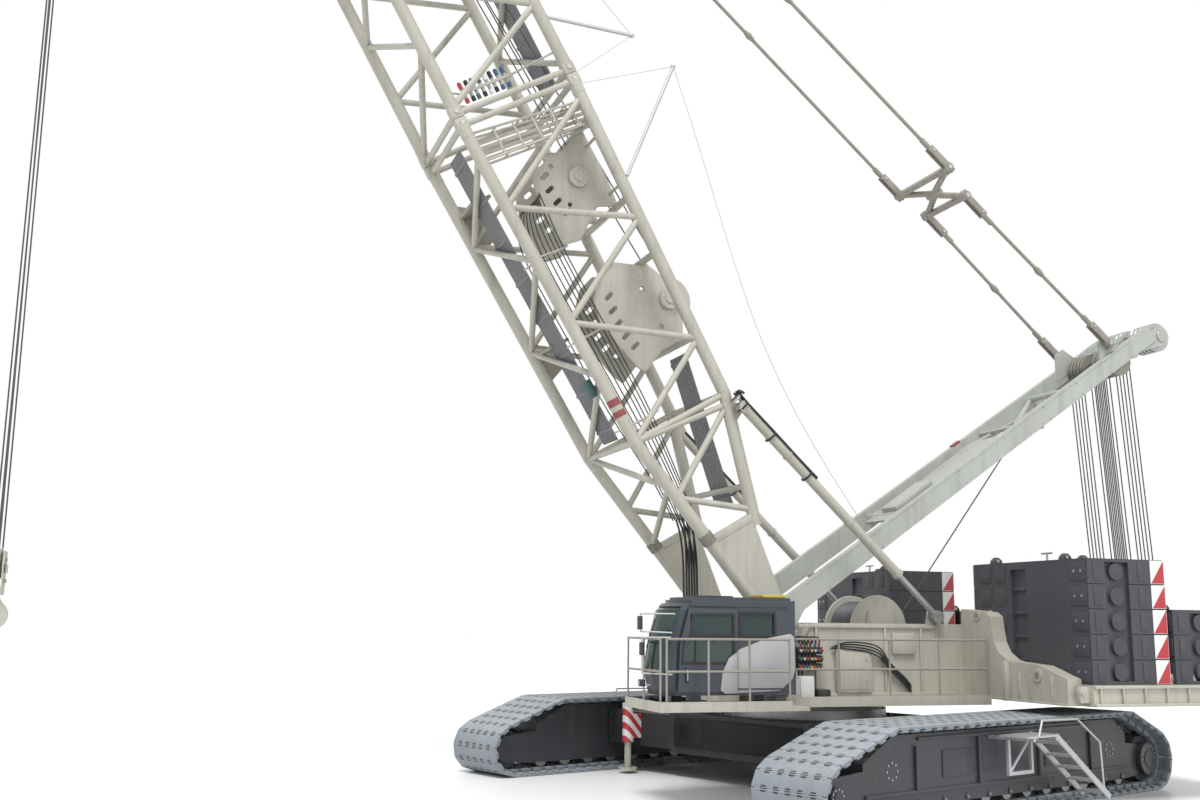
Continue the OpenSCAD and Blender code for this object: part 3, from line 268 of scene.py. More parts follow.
def add_piece(name, bm, body, finishes, place=WORLD, smooth=35.0):
    """Turns a bmesh into a piece that rides on a body."""
    bm.transform(place)
    mesh = bpy.data.meshes.new(name)
    bm.to_mesh(mesh)
    bm.free()
    for finish in finishes:
        mesh.materials.append(bpy.data.materials[finish])
    mesh.polygons.foreach_set("use_smooth", [True] * len(mesh.polygons))
    mesh.set_sharp_from_angle(angle=math.radians(smooth))
    piece = bpy.data.objects.new(name, mesh)
    bpy.context.scene.collection.objects.link(piece)
    if body:
        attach(piece, body)
    return piece


def curve_mesh(curve):
    """The mesh of a curve, which is then removed."""
    holder = bpy.data.objects.new("curve", curve)
    mesh = bpy.data.meshes.new_from_object(holder)
    bpy.data.objects.remove(holder)
    bpy.data.curves.remove(curve)
    return mesh


def hose_mesh(bm, lines, radius, index=0, sides=3):
    """Adds soft hoses along lists of points, rounded between them."""
    curve = bpy.data.curves.new("hose", "CURVE")
    curve.dimensions = "3D"
    curve.bevel_depth = radius
    curve.bevel_resolution = sides - 1
    curve.resolution_u = 5
    curve.use_fill_caps = True
    for points in lines:
        spline = curve.splines.new("NURBS")
        spline.points.add(len(points) - 1)
        for point, place in zip(spline.points, points):
            point.co = (*place, 1.0)
        spline.order_u = min(4, len(points))
        spline.use_endpoint_u = True
    mesh = curve_mesh(curve)
    first = len(bm.verts)
    bm.from_mesh(mesh)
    bpy.data.meshes.remove(mesh)
    bm.verts.ensure_lookup_table()
    tint(bm.verts[first:], index)


def absorb(bm, part, index=0):
    """Adds another bmesh with one material of its piece."""
    for face in part.faces:
        face.material_index = index
    mesh = bpy.data.meshes.new("part")
    part.to_mesh(mesh)
    part.free()
    bm.from_mesh(mesh)
    bpy.data.meshes.remove(mesh)


def lathe(bm, profile, centre, steps=48, index=0):
    """Turns a profile of (x, radius) points about the X line through a centre."""
    centre = Vector(centre)
    part = bmesh.new()
    verts = [part.verts.new(centre + Vector((x, 0, r))) for x, r in profile]
    edges = [part.edges.new(pair) for pair in zip(verts, verts[1:])]
    bmesh.ops.spin(
        part, geom=verts + edges, cent=centre, axis=(1, 0, 0), angle=math.tau, steps=steps, use_merge=True)
    bmesh.ops.remove_doubles(part, verts=part.verts, dist=1e-5)
    bmesh.ops.recalc_face_normals(part, faces=part.faces)
    absorb(bm, part, index)


def disc(bm, centre, radius, start, end, index=0, steps=32):
    """A round plate about X with a small chamfer, between two distances along x from its centre."""
    low, high = sorted((start, end))
    profile = ((low, 0), (low, radius - CHAMFER), (low + CHAMFER, radius),
               (high - CHAMFER, radius), (high, radius - CHAMFER), (high, 0))
    lathe(bm, profile, centre, steps, index)


def pierced(bm, outline, holes, start, end, index=0):
    """A plate of (y, z) points with holes through it, between two places along x."""
    curve = bpy.data.curves.new("plate", "CURVE")
    curve.dimensions = "2D"
    curve.fill_mode = "BOTH"
    curve.bevel_depth = CHAMFER
    curve.offset = -CHAMFER
    curve.extrude = abs(end - start) / 2 - CHAMFER
    for points in (outline, *holes):
        spline = curve.splines.new("POLY")
        spline.points.add(len(points) - 1)
        for point, (y, z) in zip(spline.points, points):
            point.co = (y, z, 0, 1)
        spline.use_cyclic_u = True
    mesh = curve_mesh(curve)
    part = bmesh.new()
    part.from_mesh(mesh)
    bpy.data.meshes.remove(mesh)
    turn = Matrix(((0, 0, 1, (start + end) / 2), (1, 0, 0, 0), (0, 1, 0, 0), (0, 0, 0, 1)))
    bmesh.ops.transform(part, matrix=turn, verts=part.verts)
    bmesh.ops.remove_doubles(part, verts=part.verts, dist=1e-5)
    bmesh.ops.recalc_face_normals(part, faces=part.faces)
    absorb(bm, part, index)


def round_hole(y, z, radius, count=24):
    """A round hole for a pierced plate."""
    angles = [math.tau * i / count for i in range(count)]
    return [(y + radius * math.cos(a), z + radius * math.sin(a)) for a in angles]


def long_hole(a, b, half):
    """A hole with round ends between two (y, z) points."""
    start = math.atan2(b[1] - a[1], b[0] - a[0])
    ends = ((b, start - math.pi / 2), (a, start + math.pi / 2))
    turns = [math.pi * i / 8 for i in range(9)]
    return [(p[0] + half * math.cos(first + turn), p[1] + half * math.sin(first + turn))
            for p, first in ends for turn in turns]


def chain(bm, points, radius, sides=12, index=0):
    """Straight tubes from point to point with round corners."""
    for a, b in zip(points, points[1:]):
        tube(bm, a, b, radius, sides, index)
    for corner in points[1:-1]:
        ball(bm, corner, radius, index, 6)


# Finishes

def link(tree, *pairs):
    """Links sockets two by two."""
    for source, target in pairs:
        tree.links.new(source, target)


def group_sockets(group, inputs, outputs):
    """Names the inputs and outputs of a node group."""
    for name, kind, default in inputs:
        socket = group.interface.new_socket(name, in_out="INPUT", socket_type=kind)
        socket.default_value = default
    for name, kind in outputs:
        group.interface.new_socket(name, in_out="OUTPUT", socket_type=kind)
    return group.nodes.new("NodeGroupInput").outputs, group.nodes.new("NodeGroupOutput").inputs


def noise(tree, coordinates, scale, detail, roughness=0.55, low=0.35, high=0.65):
    """A cloudy mask from 0 to 1."""
    texture = tree.nodes.new("ShaderNodeTexNoise")
    texture.inputs["Scale"].default_value = scale
    texture.inputs["Detail"].default_value = detail
    texture.inputs["Roughness"].default_value = roughness
    spread = tree.nodes.new("ShaderNodeMapRange")
    spread.inputs["From Min"].default_value = low
    spread.inputs["From Max"].default_value = high
    link(tree, (coordinates, texture.inputs["Vector"]), (texture.outputs["Fac"], spread.inputs["Value"]))
    return spread.outputs["Result"]


def maths(tree, operation, a, b):
    """One step of arithmetic on two sockets or numbers."""
    node = tree.nodes.new("ShaderNodeMath")
    node.operation = operation
    for socket, value in zip(node.inputs, (a, b)):
        if isinstance(value, (int, float)):
            socket.default_value = value
        else:
            tree.links.new(value, socket)
    return node.outputs[0]


def blend_colour(tree, mask, a, b, mode="MIX"):
    """Mixes two colours by a mask."""
    node = tree.nodes.new("ShaderNodeMix")
    node.data_type = "RGBA"
    node.blend_type = mode
    colour_a, colour_b = node.inputs[6], node.inputs[7]
    for socket, value in ((node.inputs[0], mask), (colour_a, a), (colour_b, b)):
        if isinstance(value, bpy.types.NodeSocket):
            tree.links.new(value, socket)
        elif isinstance(value, (int, float)):
            socket.default_value = value
        else:
            socket.default_value = (*value, 1.0)
    return node.outputs[2]


def make_weather_group():
    """Paint that has aged outdoors: clouds of tone, rain streaks, dust on top faces and small chips."""
    group = bpy.data.node_groups.new("Outdoor Weather", "ShaderNodeTree")
    given, result = group_sockets(
        group,
        (("Color", "NodeSocketColor", (0.8, 0.8, 0.8, 1)), ("Grime", "NodeSocketColor", (0.12, 0.1, 0.08, 1)),
         ("Dust Color", "NodeSocketColor", (0.45, 0.42, 0.37, 1)), ("Roughness", "NodeSocketFloat", 0.4),
         ("Variation", "NodeSocketFloat", 0.5), ("Streaks", "NodeSocketFloat", 0.3),
         ("Dust", "NodeSocketFloat", 0.3), ("Chips", "NodeSocketFloat", 0.3)),
        (("Color", "NodeSocketColor"), ("Roughness", "NodeSocketFloat"), ("Height", "NodeSocketFloat")))
    place = group.nodes.new("ShaderNodeTexCoord")
    stretch = group.nodes.new("ShaderNodeMapping")
    stretch.inputs["Scale"].default_value = (3.2, 3.2, 0.3)
    split = group.nodes.new("ShaderNodeSeparateXYZ")
    link(group, (place.outputs["Object"], stretch.inputs["Vector"]),
         (place.outputs["Normal"], split.inputs[0]))
    clouds = noise(group, place.outputs["Object"], 0.9, 5)
    grain = noise(group, place.outputs["Object"], 16, 4)
    rain = noise(group, stretch.outputs["Vector"], 1.6, 6, 0.6, 0.5, 0.75)
    spots = noise(group, place.outputs["Object"], 7.5, 8, 0.7, 0.66, 0.69)
    tops = group.nodes.new("ShaderNodeMapRange")
    tops.inputs["From Min"].default_value = 0.3
    link(group, (split.outputs["Z"], tops.inputs["Value"]))
    darker = blend_colour(group, 1.0, given["Color"], (0.8, 0.79, 0.77), "MULTIPLY")
    tone = blend_colour(group, maths(group, "MULTIPLY", clouds, given["Variation"]), given["Color"], darker)
    streaked = blend_colour(group, maths(group, "MULTIPLY", rain, given["Streaks"]), tone, given["Grime"])
    settled = maths(group, "MULTIPLY", tops.outputs["Result"], maths(group, "MULTIPLY_ADD", grain, 0.5))
    dust = maths(group, "MULTIPLY", settled, given["Dust"])
    dusty = blend_colour(group, dust, streaked, given["Dust Color"])
    chips = maths(group, "MULTIPLY", spots, given["Chips"])
    link(group, (blend_colour(group, chips, dusty, given["Grime"]), result["Color"]))
    rough = maths(group, "ADD", given["Roughness"], maths(group, "MULTIPLY", grain, 0.1))
    link(group, (maths(group, "ADD", rough, maths(group, "MULTIPLY", dust, 0.3)), result["Roughness"]),
         (maths(group, "SUBTRACT", maths(group, "MULTIPLY", grain, 0.25), chips), result["Height"]))


def make_band_group():
    """Two colours in slanting bands."""
    group = bpy.data.node_groups.new("Slanting Bands", "ShaderNodeTree")
    given, result = group_sockets(
        group,
        (("Color", "NodeSocketColor", (0.7, 0.05, 0.05, 1)),
         ("Other Color", "NodeSocketColor", (0.8, 0.8, 0.8, 1)),
         ("Pitch", "NodeSocketFloat", 0.27), ("Slant", "NodeSocketFloat", 1.0)),
        (("Color", "NodeSocketColor"),))
    place = group.nodes.new("ShaderNodeTexCoord")
    split = group.nodes.new("ShaderNodeSeparateXYZ")
    link(group, (place.outputs["Object"], split.inputs[0]))
    across = maths(group, "SUBTRACT", split.outputs["Y"], maths(group, "MULTIPLY", split.outputs["X"], 0.35))
    height = maths(group, "ADD", split.outputs["Z"], maths(group, "MULTIPLY", across, given["Slant"]))
    step = maths(group, "FRACT", maths(group, "DIVIDE", height, given["Pitch"]), 0.0)
    mask = maths(group, "GREATER_THAN", step, 0.5)
    link(group, (blend_colour(group, mask, given["Color"], given["Other Color"]), result["Color"]))


def new_finish(name, roughness=0.4, metallic=0.0, coat=0.0):
    """A material with its shader, whose number sockets are set on the shader itself."""
    material = bpy.data.materials.new(name)
    material.use_nodes = True
    shader = material.node_tree.nodes["Principled BSDF"]
    shader.inputs["Roughness"].default_value = roughness
    shader.inputs["Metallic"].default_value = metallic
    shader.inputs["Coat Weight"].default_value = coat
    return material.node_tree, shader


def add_bump(tree, shader, height, strength, distance):
    """Feeds a height into the shader's normal."""
    bump = tree.nodes.new("ShaderNodeBump")
    bump.inputs["Strength"].default_value = strength
    bump.inputs["Distance"].default_value = distance
    link(tree, (height, bump.inputs["Height"]), (bump.outputs["Normal"], shader.inputs["Normal"]))


def weathered(name, colour, roughness=0.4, metallic=0.0, coat=0.0, dust_colour=(0.42, 0.39, 0.34),
              variation=0.5, streaks=0.25, dust=0.3, chips=0.25, bump=0.25):
    """A finish that goes through the weather group."""
    tree, shader = new_finish(name, roughness, metallic, coat)
    age = tree.nodes.new("ShaderNodeGroup")
    age.node_tree = bpy.data.node_groups["Outdoor Weather"]
    values = (("Color", (*colour, 1)), ("Grime", (0.10, 0.085, 0.07, 1)), ("Dust Color", (*dust_colour, 1)),
              ("Roughness", roughness), ("Variation", variation), ("Streaks", streaks), ("Dust", dust),
              ("Chips", chips))
    for socket, value in values:
        age.inputs[socket].default_value = value
    link(tree, (age.outputs["Color"], shader.inputs["Base Color"]),
         (age.outputs["Roughness"], shader.inputs["Roughness"]))
    add_bump(tree, shader, age.outputs["Height"], bump, 0.01)
    return tree, age


def make_finishes(paint):
    """Every material of the crane."""
    make_weather_group()
    make_band_group()
    weathered("beige paint", paint.beige, 0.45, coat=0.04)
    weathered("worn beige paint", paint.beige, 0.5, streaks=0.45, dust=0.4, chips=0.6)
    weathered("mast paint", paint.mast, 0.45, coat=0.04)
    weathered("drab paint", (0.30, 0.28, 0.24), 0.5, streaks=0.4, dust=0.3, chips=0.5)
    weathered("faded red", (0.27, 0.06, 0.06), 0.5, streaks=0.4, chips=0.6)
    weathered("shoe steel", paint.shoe, 0.5, variation=0.8, streaks=0.2, dust=0.45, chips=0.7, bump=0.5,
              dust_colour=(0.52, 0.54, 0.56))
    weathered("charcoal paint", paint.charcoal, 0.42, coat=0.1, dust=0.35, chips=0.15)
    weathered("black paint", paint.black, 0.5, dust=0.25, chips=0.2)
    weathered("slate paint", paint.slate, 0.36, coat=0.1, streaks=0.1, dust=0.15, chips=0.05, bump=0.05)
    weathered("pale panel", paint.panel, 0.4, coat=0.05, streaks=0.1, dust=0.1, chips=0.05, bump=0.05)
    weathered("casting paint", paint.casting, 0.55, variation=0.7, streaks=0.3, dust=0.2, bump=0.6)
    weathered("bare steel", paint.steel, 0.38, 0.85, streaks=0.15, dust=0.15, chips=0.1)
    weathered("zinc steel", paint.zinc, 0.45, 0.6, streaks=0.1, dust=0.2, chips=0.1)
    weathered("rope wire", (0.09, 0.09, 0.095), 0.45, 0.6, streaks=0.0, dust=0.1, chips=0.0)
    weathered("rubber", (0.02, 0.02, 0.022), 0.55, streaks=0.0, dust=0.15, chips=0.0)
    weathered("yellow paint", (0.5, 0.38, 0.06), 0.4, streaks=0.1)
    weathered("red paint", paint.red, 0.4, streaks=0.1, dust=0.1)
    weathered("white paint", (0.78, 0.78, 0.77), 0.4, streaks=0.15, dust=0.1)
    weathered("brass fitting", (0.5, 0.33, 0.12), 0.35, 0.8, streaks=0.1)
    weathered("blue cap", (0.05, 0.12, 0.26), 0.4)
    weathered("green cap", (0.04, 0.15, 0.09), 0.4)
    weathered("teal cover", (0.045, 0.11, 0.11), 0.5, bump=0.1)
    weathered("grey panel", (0.16, 0.165, 0.17), 0.5)
    weathered("seat cloth", (0.03, 0.032, 0.036), 0.8, streaks=0.0, dust=0.1, chips=0.0, bump=0.7)
    tree, age = weathered("warning bands", paint.red, 0.4, streaks=0.15)
    bands = tree.nodes.new("ShaderNodeGroup")
    bands.node_tree = bpy.data.node_groups["Slanting Bands"]
    bands.inputs["Color"].default_value = (*paint.red, 1)
    bands.inputs["Other Color"].default_value = (0.72, 0.71, 0.68, 1)
    link(tree, (bands.outputs["Color"], age.inputs["Color"]))
    make_glass("tinted glass", paint.glass)
    make_glass("lamp glass", (0.9, 0.92, 0.95))


def make_glass(name, colour):
    """Tinted glass that lets some light through."""
    shader = new_finish(name, 0.04)[1]
    shader.inputs["Base Color"].default_value = (*colour, 1)
    shader.inputs["Transmission Weight"].default_value = 0.75
    shader.inputs["IOR"].default_value = 1.45
    shader.inputs["Specular IOR Level"].default_value = 0.4


# Driving sizes and colours

class CranePaint(bpy.types.PropertyGroup):
    """Colours of the crane."""

    beige: FloatVectorProperty(
        name="Beige", description="Paint of boom and platform", subtype="COLOR", default=(0.455, 0.44, 0.375))
    mast: FloatVectorProperty(
        name="Mast", description="Paint of the mast", subtype="COLOR", default=(0.43, 0.45, 0.415))
    shoe: FloatVectorProperty(
        name="Shoes", description="Paint of the track shoes", subtype="COLOR", default=(0.25, 0.28, 0.31))
    charcoal: FloatVectorProperty(
        name="Charcoal", description="Paint of the crawler frames", subtype="COLOR",
        default=(0.045, 0.046, 0.055))
    black: FloatVectorProperty(
        name="Black", description="Paint of the carbody", subtype="COLOR", default=(0.022, 0.022, 0.024))
    slate: FloatVectorProperty(
        name="Slate", description="Paint of the cab", subtype="COLOR", default=(0.034, 0.042, 0.058))
    panel: FloatVectorProperty(
        name="Panel", description="Curved panel on the cab's side", subtype="COLOR",
        default=(0.41, 0.41, 0.41))
    casting: FloatVectorProperty(
        name="Castings", description="Paint of the counterweights", subtype="COLOR",
        default=(0.055, 0.054, 0.066))
    steel: FloatVectorProperty(
        name="Steel", description="Bare steel", subtype="COLOR", default=(0.42, 0.42, 0.42))
    zinc: FloatVectorProperty(
        name="Zinc", description="Galvanised steps and wires", subtype="COLOR", default=(0.50, 0.51, 0.52))
    red: FloatVectorProperty(
        name="Red", description="Warning red", subtype="COLOR", default=(0.45, 0.035, 0.045))
    glass: FloatVectorProperty(
        name="Glass", description="Tint of the cab's panes", subtype="COLOR", default=(0.10, 0.17, 0.16))


class CraneSizes(bpy.types.PropertyGroup):
    """Sizes of what is dressed on the frame."""

    chord_radius: FloatProperty(
        name="Chord radius", description="Outer radius of a chord tube", default=0.122, unit="LENGTH")
    brace_radius: FloatProperty(
        name="Bracing radius", description="Outer radius of a bracing tube", default=0.062, unit="LENGTH")
    rail_radius: FloatProperty(
        name="Railing radius", description="Radius of the railings' tubes", default=0.019, unit="LENGTH")
    shoe_count: IntProperty(
        name="Shoes", description="Number of shoes on a track", default=74, min=60, max=90)
    shoe_gap: FloatProperty(
        name="Shoe gap", description="Gap between two shoes", default=0.026, unit="LENGTH")
    rope_radius: FloatProperty(
        name="Rope radius", description="Radius of the wire ropes", default=0.014, unit="LENGTH")


# Stage

CAMERA_PLACE = Vector((23.11, -12.35, 3.056))
CAMERA_AIM = Vector((-0.9312, 0.3203, 0.1742))
CAMERA_ROLL = math.radians(0.646)
CAMERA_LENS = 37.57
FLOOR_SIZE = 400.0


def make_stage(scene):
    """Camera at the photo's view, pale floor and soft light."""
    camera = bpy.data.objects.new("view", bpy.data.cameras.new("view"))
    scene.collection.objects.link(camera)
    back = -CAMERA_AIM.normalized()
    right = Vector((0, 0, 1)).cross(back).normalized()
    turn = Matrix((right, back.cross(right), back)).transposed()
    camera.matrix_world = Matrix.LocRotScale(CAMERA_PLACE, turn @ Matrix.Rotation(CAMERA_ROLL, 3, "Z"), None)
    camera.data.sensor_fit = "HORIZONTAL"
    camera.data.sensor_width = 36.0
    camera.data.lens = CAMERA_LENS
    camera.data.clip_end = 600.0
    scene.camera = camera
    scene.view_settings.view_transform = "Standard"
    world = bpy.data.worlds.new("studio")
    world.use_nodes = True
    scene.world = world
    tree = world.node_tree
    soft = tree.nodes["Background"]
    soft.inputs["Color"].default_value = (0.96, 0.98, 1.0, 1.0)
    soft.inputs["Strength"].default_value = 0.66
    white = tree.nodes.new("ShaderNodeBackground")
    mix = tree.nodes.new("ShaderNodeMixShader")
    path = tree.nodes.new("ShaderNodeLightPath")
    seen = maths(tree, "MAXIMUM", path.outputs["Is Camera Ray"], path.outputs["Is Glossy Ray"])
    seen = maths(tree, "MAXIMUM", seen, path.outputs["Is Transmission Ray"])
    link(tree, (seen, mix.inputs[0]), (soft.outputs[0], mix.inputs[1]), (white.outputs[0], mix.inputs[2]),
         (mix.outputs[0], tree.nodes["World Output"].inputs[0]))
    white.inputs["Color"].default_value = (1, 1, 1, 1)
    add_lamp(scene, "key", (16, -12, 34), 2.3, 20)
    add_lamp(scene, "fill", (30, 10, 12), 0.6, 40)
    bm = bmesh.new()
    bmesh.ops.create_grid(bm, x_segments=1, y_segments=1, size=FLOOR_SIZE / 2)
    tree, shader = new_finish("floor", 0.35)
    shader.inputs["Base Color"].default_value = (0.9, 0.9, 0.9, 1)
    shader.inputs["Specular IOR Level"].default_value = 0.25
    floor = add_piece("floor", bm, None, ["floor"])


def add_lamp(scene, name, place, strength, angle):
    """A soft sun that shines from a place towards the crane."""
    lamp = bpy.data.lights.new(name, "SUN")
    lamp.energy = strength
    lamp.angle = math.radians(angle)
    holder = bpy.data.objects.new(name, lamp)
    holder.matrix_world = Matrix.Translation(Vector(place)) @ (
        Vector(place).to_track_quat("Z", "Y").to_matrix().to_4x4())
    scene.collection.objects.link(holder)


# Frame pieces that keep their shape

NODE_FINISHES = {
    "beige paint": (
        "deck_frame", "rear_arms", "power_pack", "winch_cheeks", "tray", "luffing_drum", "boom_foot",
        "boom_head", "backstop_tubes", "hook_block", "side_walkway", "cab_platform", "hoist_frames"),
    "mast paint": ("mast_frame",),
    "drab paint": ("pendants", "railings"),
    "worn beige paint": ("jack_front_left", "jack_front_right", "jack_rear_left", "jack_rear_right", "hook"),
    "bare steel": ("slewing_ring", "rollers", "valve_bank", "head_sheaves", "mast_sheaves", "backstop_rods",
                   "hoist_drum_lower", "hoist_drum_upper"),
    "zinc steel": ("access_steps",),
    "charcoal paint": ("side_frame_left", "side_frame_right", "drive_wheel_left", "drive_wheel_right",
                       "idler_left", "idler_right"),
    "shoe steel": ("track_left", "track_right"),
    "black paint": ("carbody", "engine_block"),
    "seat cloth": ("operator_seat",),
    "slate paint": ("cab_shell", "cab_roof", "cab_door", "catwalk"),
    "tinted glass": ("cab_glass",),
    "casting paint": ("stacks_front", "stacks_rear"),
    "rope wire": ("hoist_ropes",),
    "warning bands": ("jack_tubes",),
}


def finish_nodes():
    """Gives each node that stays in view its finish."""
    for finish, names in NODE_FINISHES.items():
        for name in names:
            mesh = frame["nodes"][name].data
            mesh.materials.clear()
            mesh.materials.append(bpy.data.materials[finish])


# Boom

# Zigzags between two chords: plane, chord that the first station is on, stations along the boom.
BASE_ZIGZAGS = (
    ("left", 1, (11.05, 9.65, 8.45, 7.2, 5.85, 4.65)),
    ("right", 1, (11.05, 9.65, 8.45, 7.2, 5.85, 4.65)),
    ("left", -1, (4.65, 4.45, 3.35, 2.45)),
    ("right", -1, (4.65, 4.45, 3.35, 2.45)),
    ("lower", 1, (10.75, 9.6, 8.5, 7.15, 6.05, 4.65, 3.6, 2.45)),
)
PLANES = (("left", -1), ("right", 1), ("lower", -1), ("upper", 1))
MIDDLE_STATIONS = (11.75, 13.05, 14.3, 15.55, 16.8, 18.05, 19.3, 20.0)
TOP_STATIONS = (20.45, 21.75, 22.95, 24.05, 25.05, 26.0)
MIDDLE_ZIGZAGS = [(plane, first, MIDDLE_STATIONS) for plane, first in PLANES]
TOP_ZIGZAGS = [(plane, first, TOP_STATIONS) for plane, first in PLANES]
# Sides and faces of the four chords.
CHORDS = ((-1, -1), (-1, 1), (1, -1), (1, 1))
JOINT_EDGE = 0.09
FOOT_PLATE = 2.25
STAY_EYE = 4.276
HOIST_BEAMS = (5.9, 7.7, 8.9, 10.6)


def zigzag(bm, plane, first, stations, radius):
    """Bracing tubes that run to and fro between the two chords of one plane."""
    across = {"left": lambda k, u: chord(1, k, u), "right": lambda k, u: chord(-1, k, u),
              "lower": lambda k, u: chord(k, -1, u), "upper": lambda k, u: chord(k, 1, u)}[plane]
    side = first
    for u0, u1 in zip(stations, stations[1:]):
        tube(bm, across(side, u0), across(-side, u1), radius, 12)
        side = -side


def cross_frame(bm, u, radius):
    """Four tubes between the chords at one station."""
    for k in (-1, 1):
        tube(bm, chord(-1, k, u), chord(1, k, u), radius, 12)
        tube(bm, chord(k, -1, u), chord(k, 1, u), radius, 12)


def section_ends(bm, u, towards):
    """Forged eyes and pins where two sections meet."""
    for side, face in CHORDS:
        eye = chord(side, face, u)
        tube(bm, chord(side, face, u + towards * 0.28), eye, 0.128, 20)
        half = Vector((0.1, 0.12, 0.128))
        block(bm, eye - half, eye + half, 0, 0.03)
        pin(bm, eye.x - 0.13, eye.x + 0.13, eye.y, eye.z, 0.04, 12, 1)


def boom_section(start, end, zigzags, frames, ends, sizes):
    """One lattice section with its chords, bracing and ends."""
    bm = bmesh.new()
    for side, face in CHORDS:
        tube(bm, chord(side, face, start), chord(side, face, end), sizes.chord_radius, 20)
    for plane, first, stations in zigzags:
        zigzag(bm, plane, first, stations, sizes.brace_radius)
    for u in frames:
        cross_frame(bm, u, sizes.brace_radius)
    for u, towards in ends:
        section_ends(bm, u, towards)
    return bm


def add_section(bm, name):
    """Turns a lattice section into the piece that stands for the frame's own."""
    piece = add_piece(f"boom_{name}_tubes", bm, "boom", ["beige paint", "bare steel"], BOOM)
    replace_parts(piece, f"boom_{name}")


def make_boom(sizes):
    """The three lattice sections."""
    bm = boom_section(KNEE, BASE_END - JOINT_EDGE, BASE_ZIGZAGS, (BASE_END - 0.12, KNEE),
                      ((BASE_END - 0.1, -1),), sizes)
    for side, face in CHORDS:
        start = 1.0 if face < 0 else FOOT_PLATE - 0.1
        tube(bm, chord(side, face, start), chord(side, face, KNEE), sizes.chord_radius, 20)
        ball(bm, chord(side, face, KNEE), sizes.chord_radius * 1.02)
        tube(bm, chord(side, -1, 2.3), chord(side, -1, 2.5), sizes.chord_radius + 0.02, 20)
    for side in (-1, 1):
        stay = chord(side, 1, STAY_EYE).z
        ear = [(-4.54, stay - 0.06), (-4.02, stay - 0.1), (-4.2, 1.44), (-4.36, 1.44)]
        plate(bm, ear, side * (CHORD_X + 0.03), side * (CHORD_X + 0.09), 0, 0.008)
        pin(bm, side * 1.41, side * 1.547, -STAY_EYE, 1.36, 0.06, 20, 1)
        middle, half = middle_line(FOOT_PLATE), half_depth(FOOT_PLATE)
        block(bm, (side * (CHORD_X - 0.08), -FOOT_PLATE - 0.15, middle - half),
              (side * (CHORD_X + 0.08), -FOOT_PLATE - 0.001, middle + half), 0, 0.01)
    for u in HOIST_BEAMS:
        z = upper_edge(u)
        block(bm, (-CHORD_X, -u - 0.06, z - 0.06), (CHORD_X, -u + 0.06, z + 0.06), 0, 0.012)
    tube(bm, chord(-1, 1, 2.9), chord(1, 1, 2.9), sizes.brace_radius, 12)
    add_section(bm, "base")
    bm = boom_section(BASE_END + JOINT_EDGE, MIDDLE_END - JOINT_EDGE, MIDDLE_ZIGZAGS,
                      (BASE_END + 0.12, MIDDLE_END - 0.12),
                      ((BASE_END + 0.14, 1), (MIDDLE_END - 0.14, -1)), sizes)
    add_section(bm, "middle")
    top = BOOM_END - 0.8
    bm = boom_section(MIDDLE_END + JOINT_EDGE, top, TOP_ZIGZAGS, (MIDDLE_END + 0.12, top),
                      ((MIDDLE_END + 0.14, 1),), sizes)
    for side, face in CHORDS:
        tube(bm, chord(side, face, top), chord(side, face, top + 0.11), 0.125, 20)
    add_section(bm, "top")


# Crawlers

TRACK_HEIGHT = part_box("track_left")[1].z
TOP_FRONT = -3.4
TOP_REAR = 3.72
TRACK_WIDTH = 1.5
SHOE_DEPTH = 0.13


def arc(centre, radius, start, end, steps):
    """Points (y, z) on an arc from one angle to another."""
    return [(centre.y + radius * math.cos(start + (end - start) * i / steps),
             centre.z + radius * math.sin(start + (end - start) * i / steps)) for i in range(steps + 1)]


def tangent_angle(centre, radius, point, side):
    """Angle at which a straight run to a point leaves a circle."""
    dy, dz = point[0] - centre.y, point[1] - centre.z
    return math.atan2(dz, dy) + side * math.acos(radius / math.hypot(dy, dz))


def track_outline():
    """The closed outline of a track over its shoes, as (y, z) points."""
    front, rear = (TOP_FRONT, TRACK_HEIGHT), (TOP_REAR, TRACK_HEIGHT)
    rear_radius, front_radius = REAR_WHEEL.z, FRONT_WHEEL.z
    rear_end = tangent_angle(REAR_WHEEL, rear_radius, rear, -1)
    front_start = tangent_angle(FRONT_WHEEL, front_radius, front, 1)
    return (arc(REAR_WHEEL, rear_radius, -math.pi / 2, rear_end, 12) + [rear, front]
            + arc(FRONT_WHEEL, front_radius, front_start, math.pi * 1.5, 12))


def spaced(outline, count):
    """Points at equal running lengths round a closed outline."""
    points = [Vector(p) for p in outline]
    runs = [(b - a).length for a, b in zip(points, points[1:] + points[:1])]
    pitch = sum(runs) / count
    ends, passed, k = [], 0.0, 0
    for a, b, run in zip(points, points[1:] + points[:1], runs):
        while k < count and k * pitch <= passed + run + 1e-9:
            ends.append(a.lerp(b, (k * pitch - passed) / run if run else 0.0))
            k += 1
        passed += run
    return ends


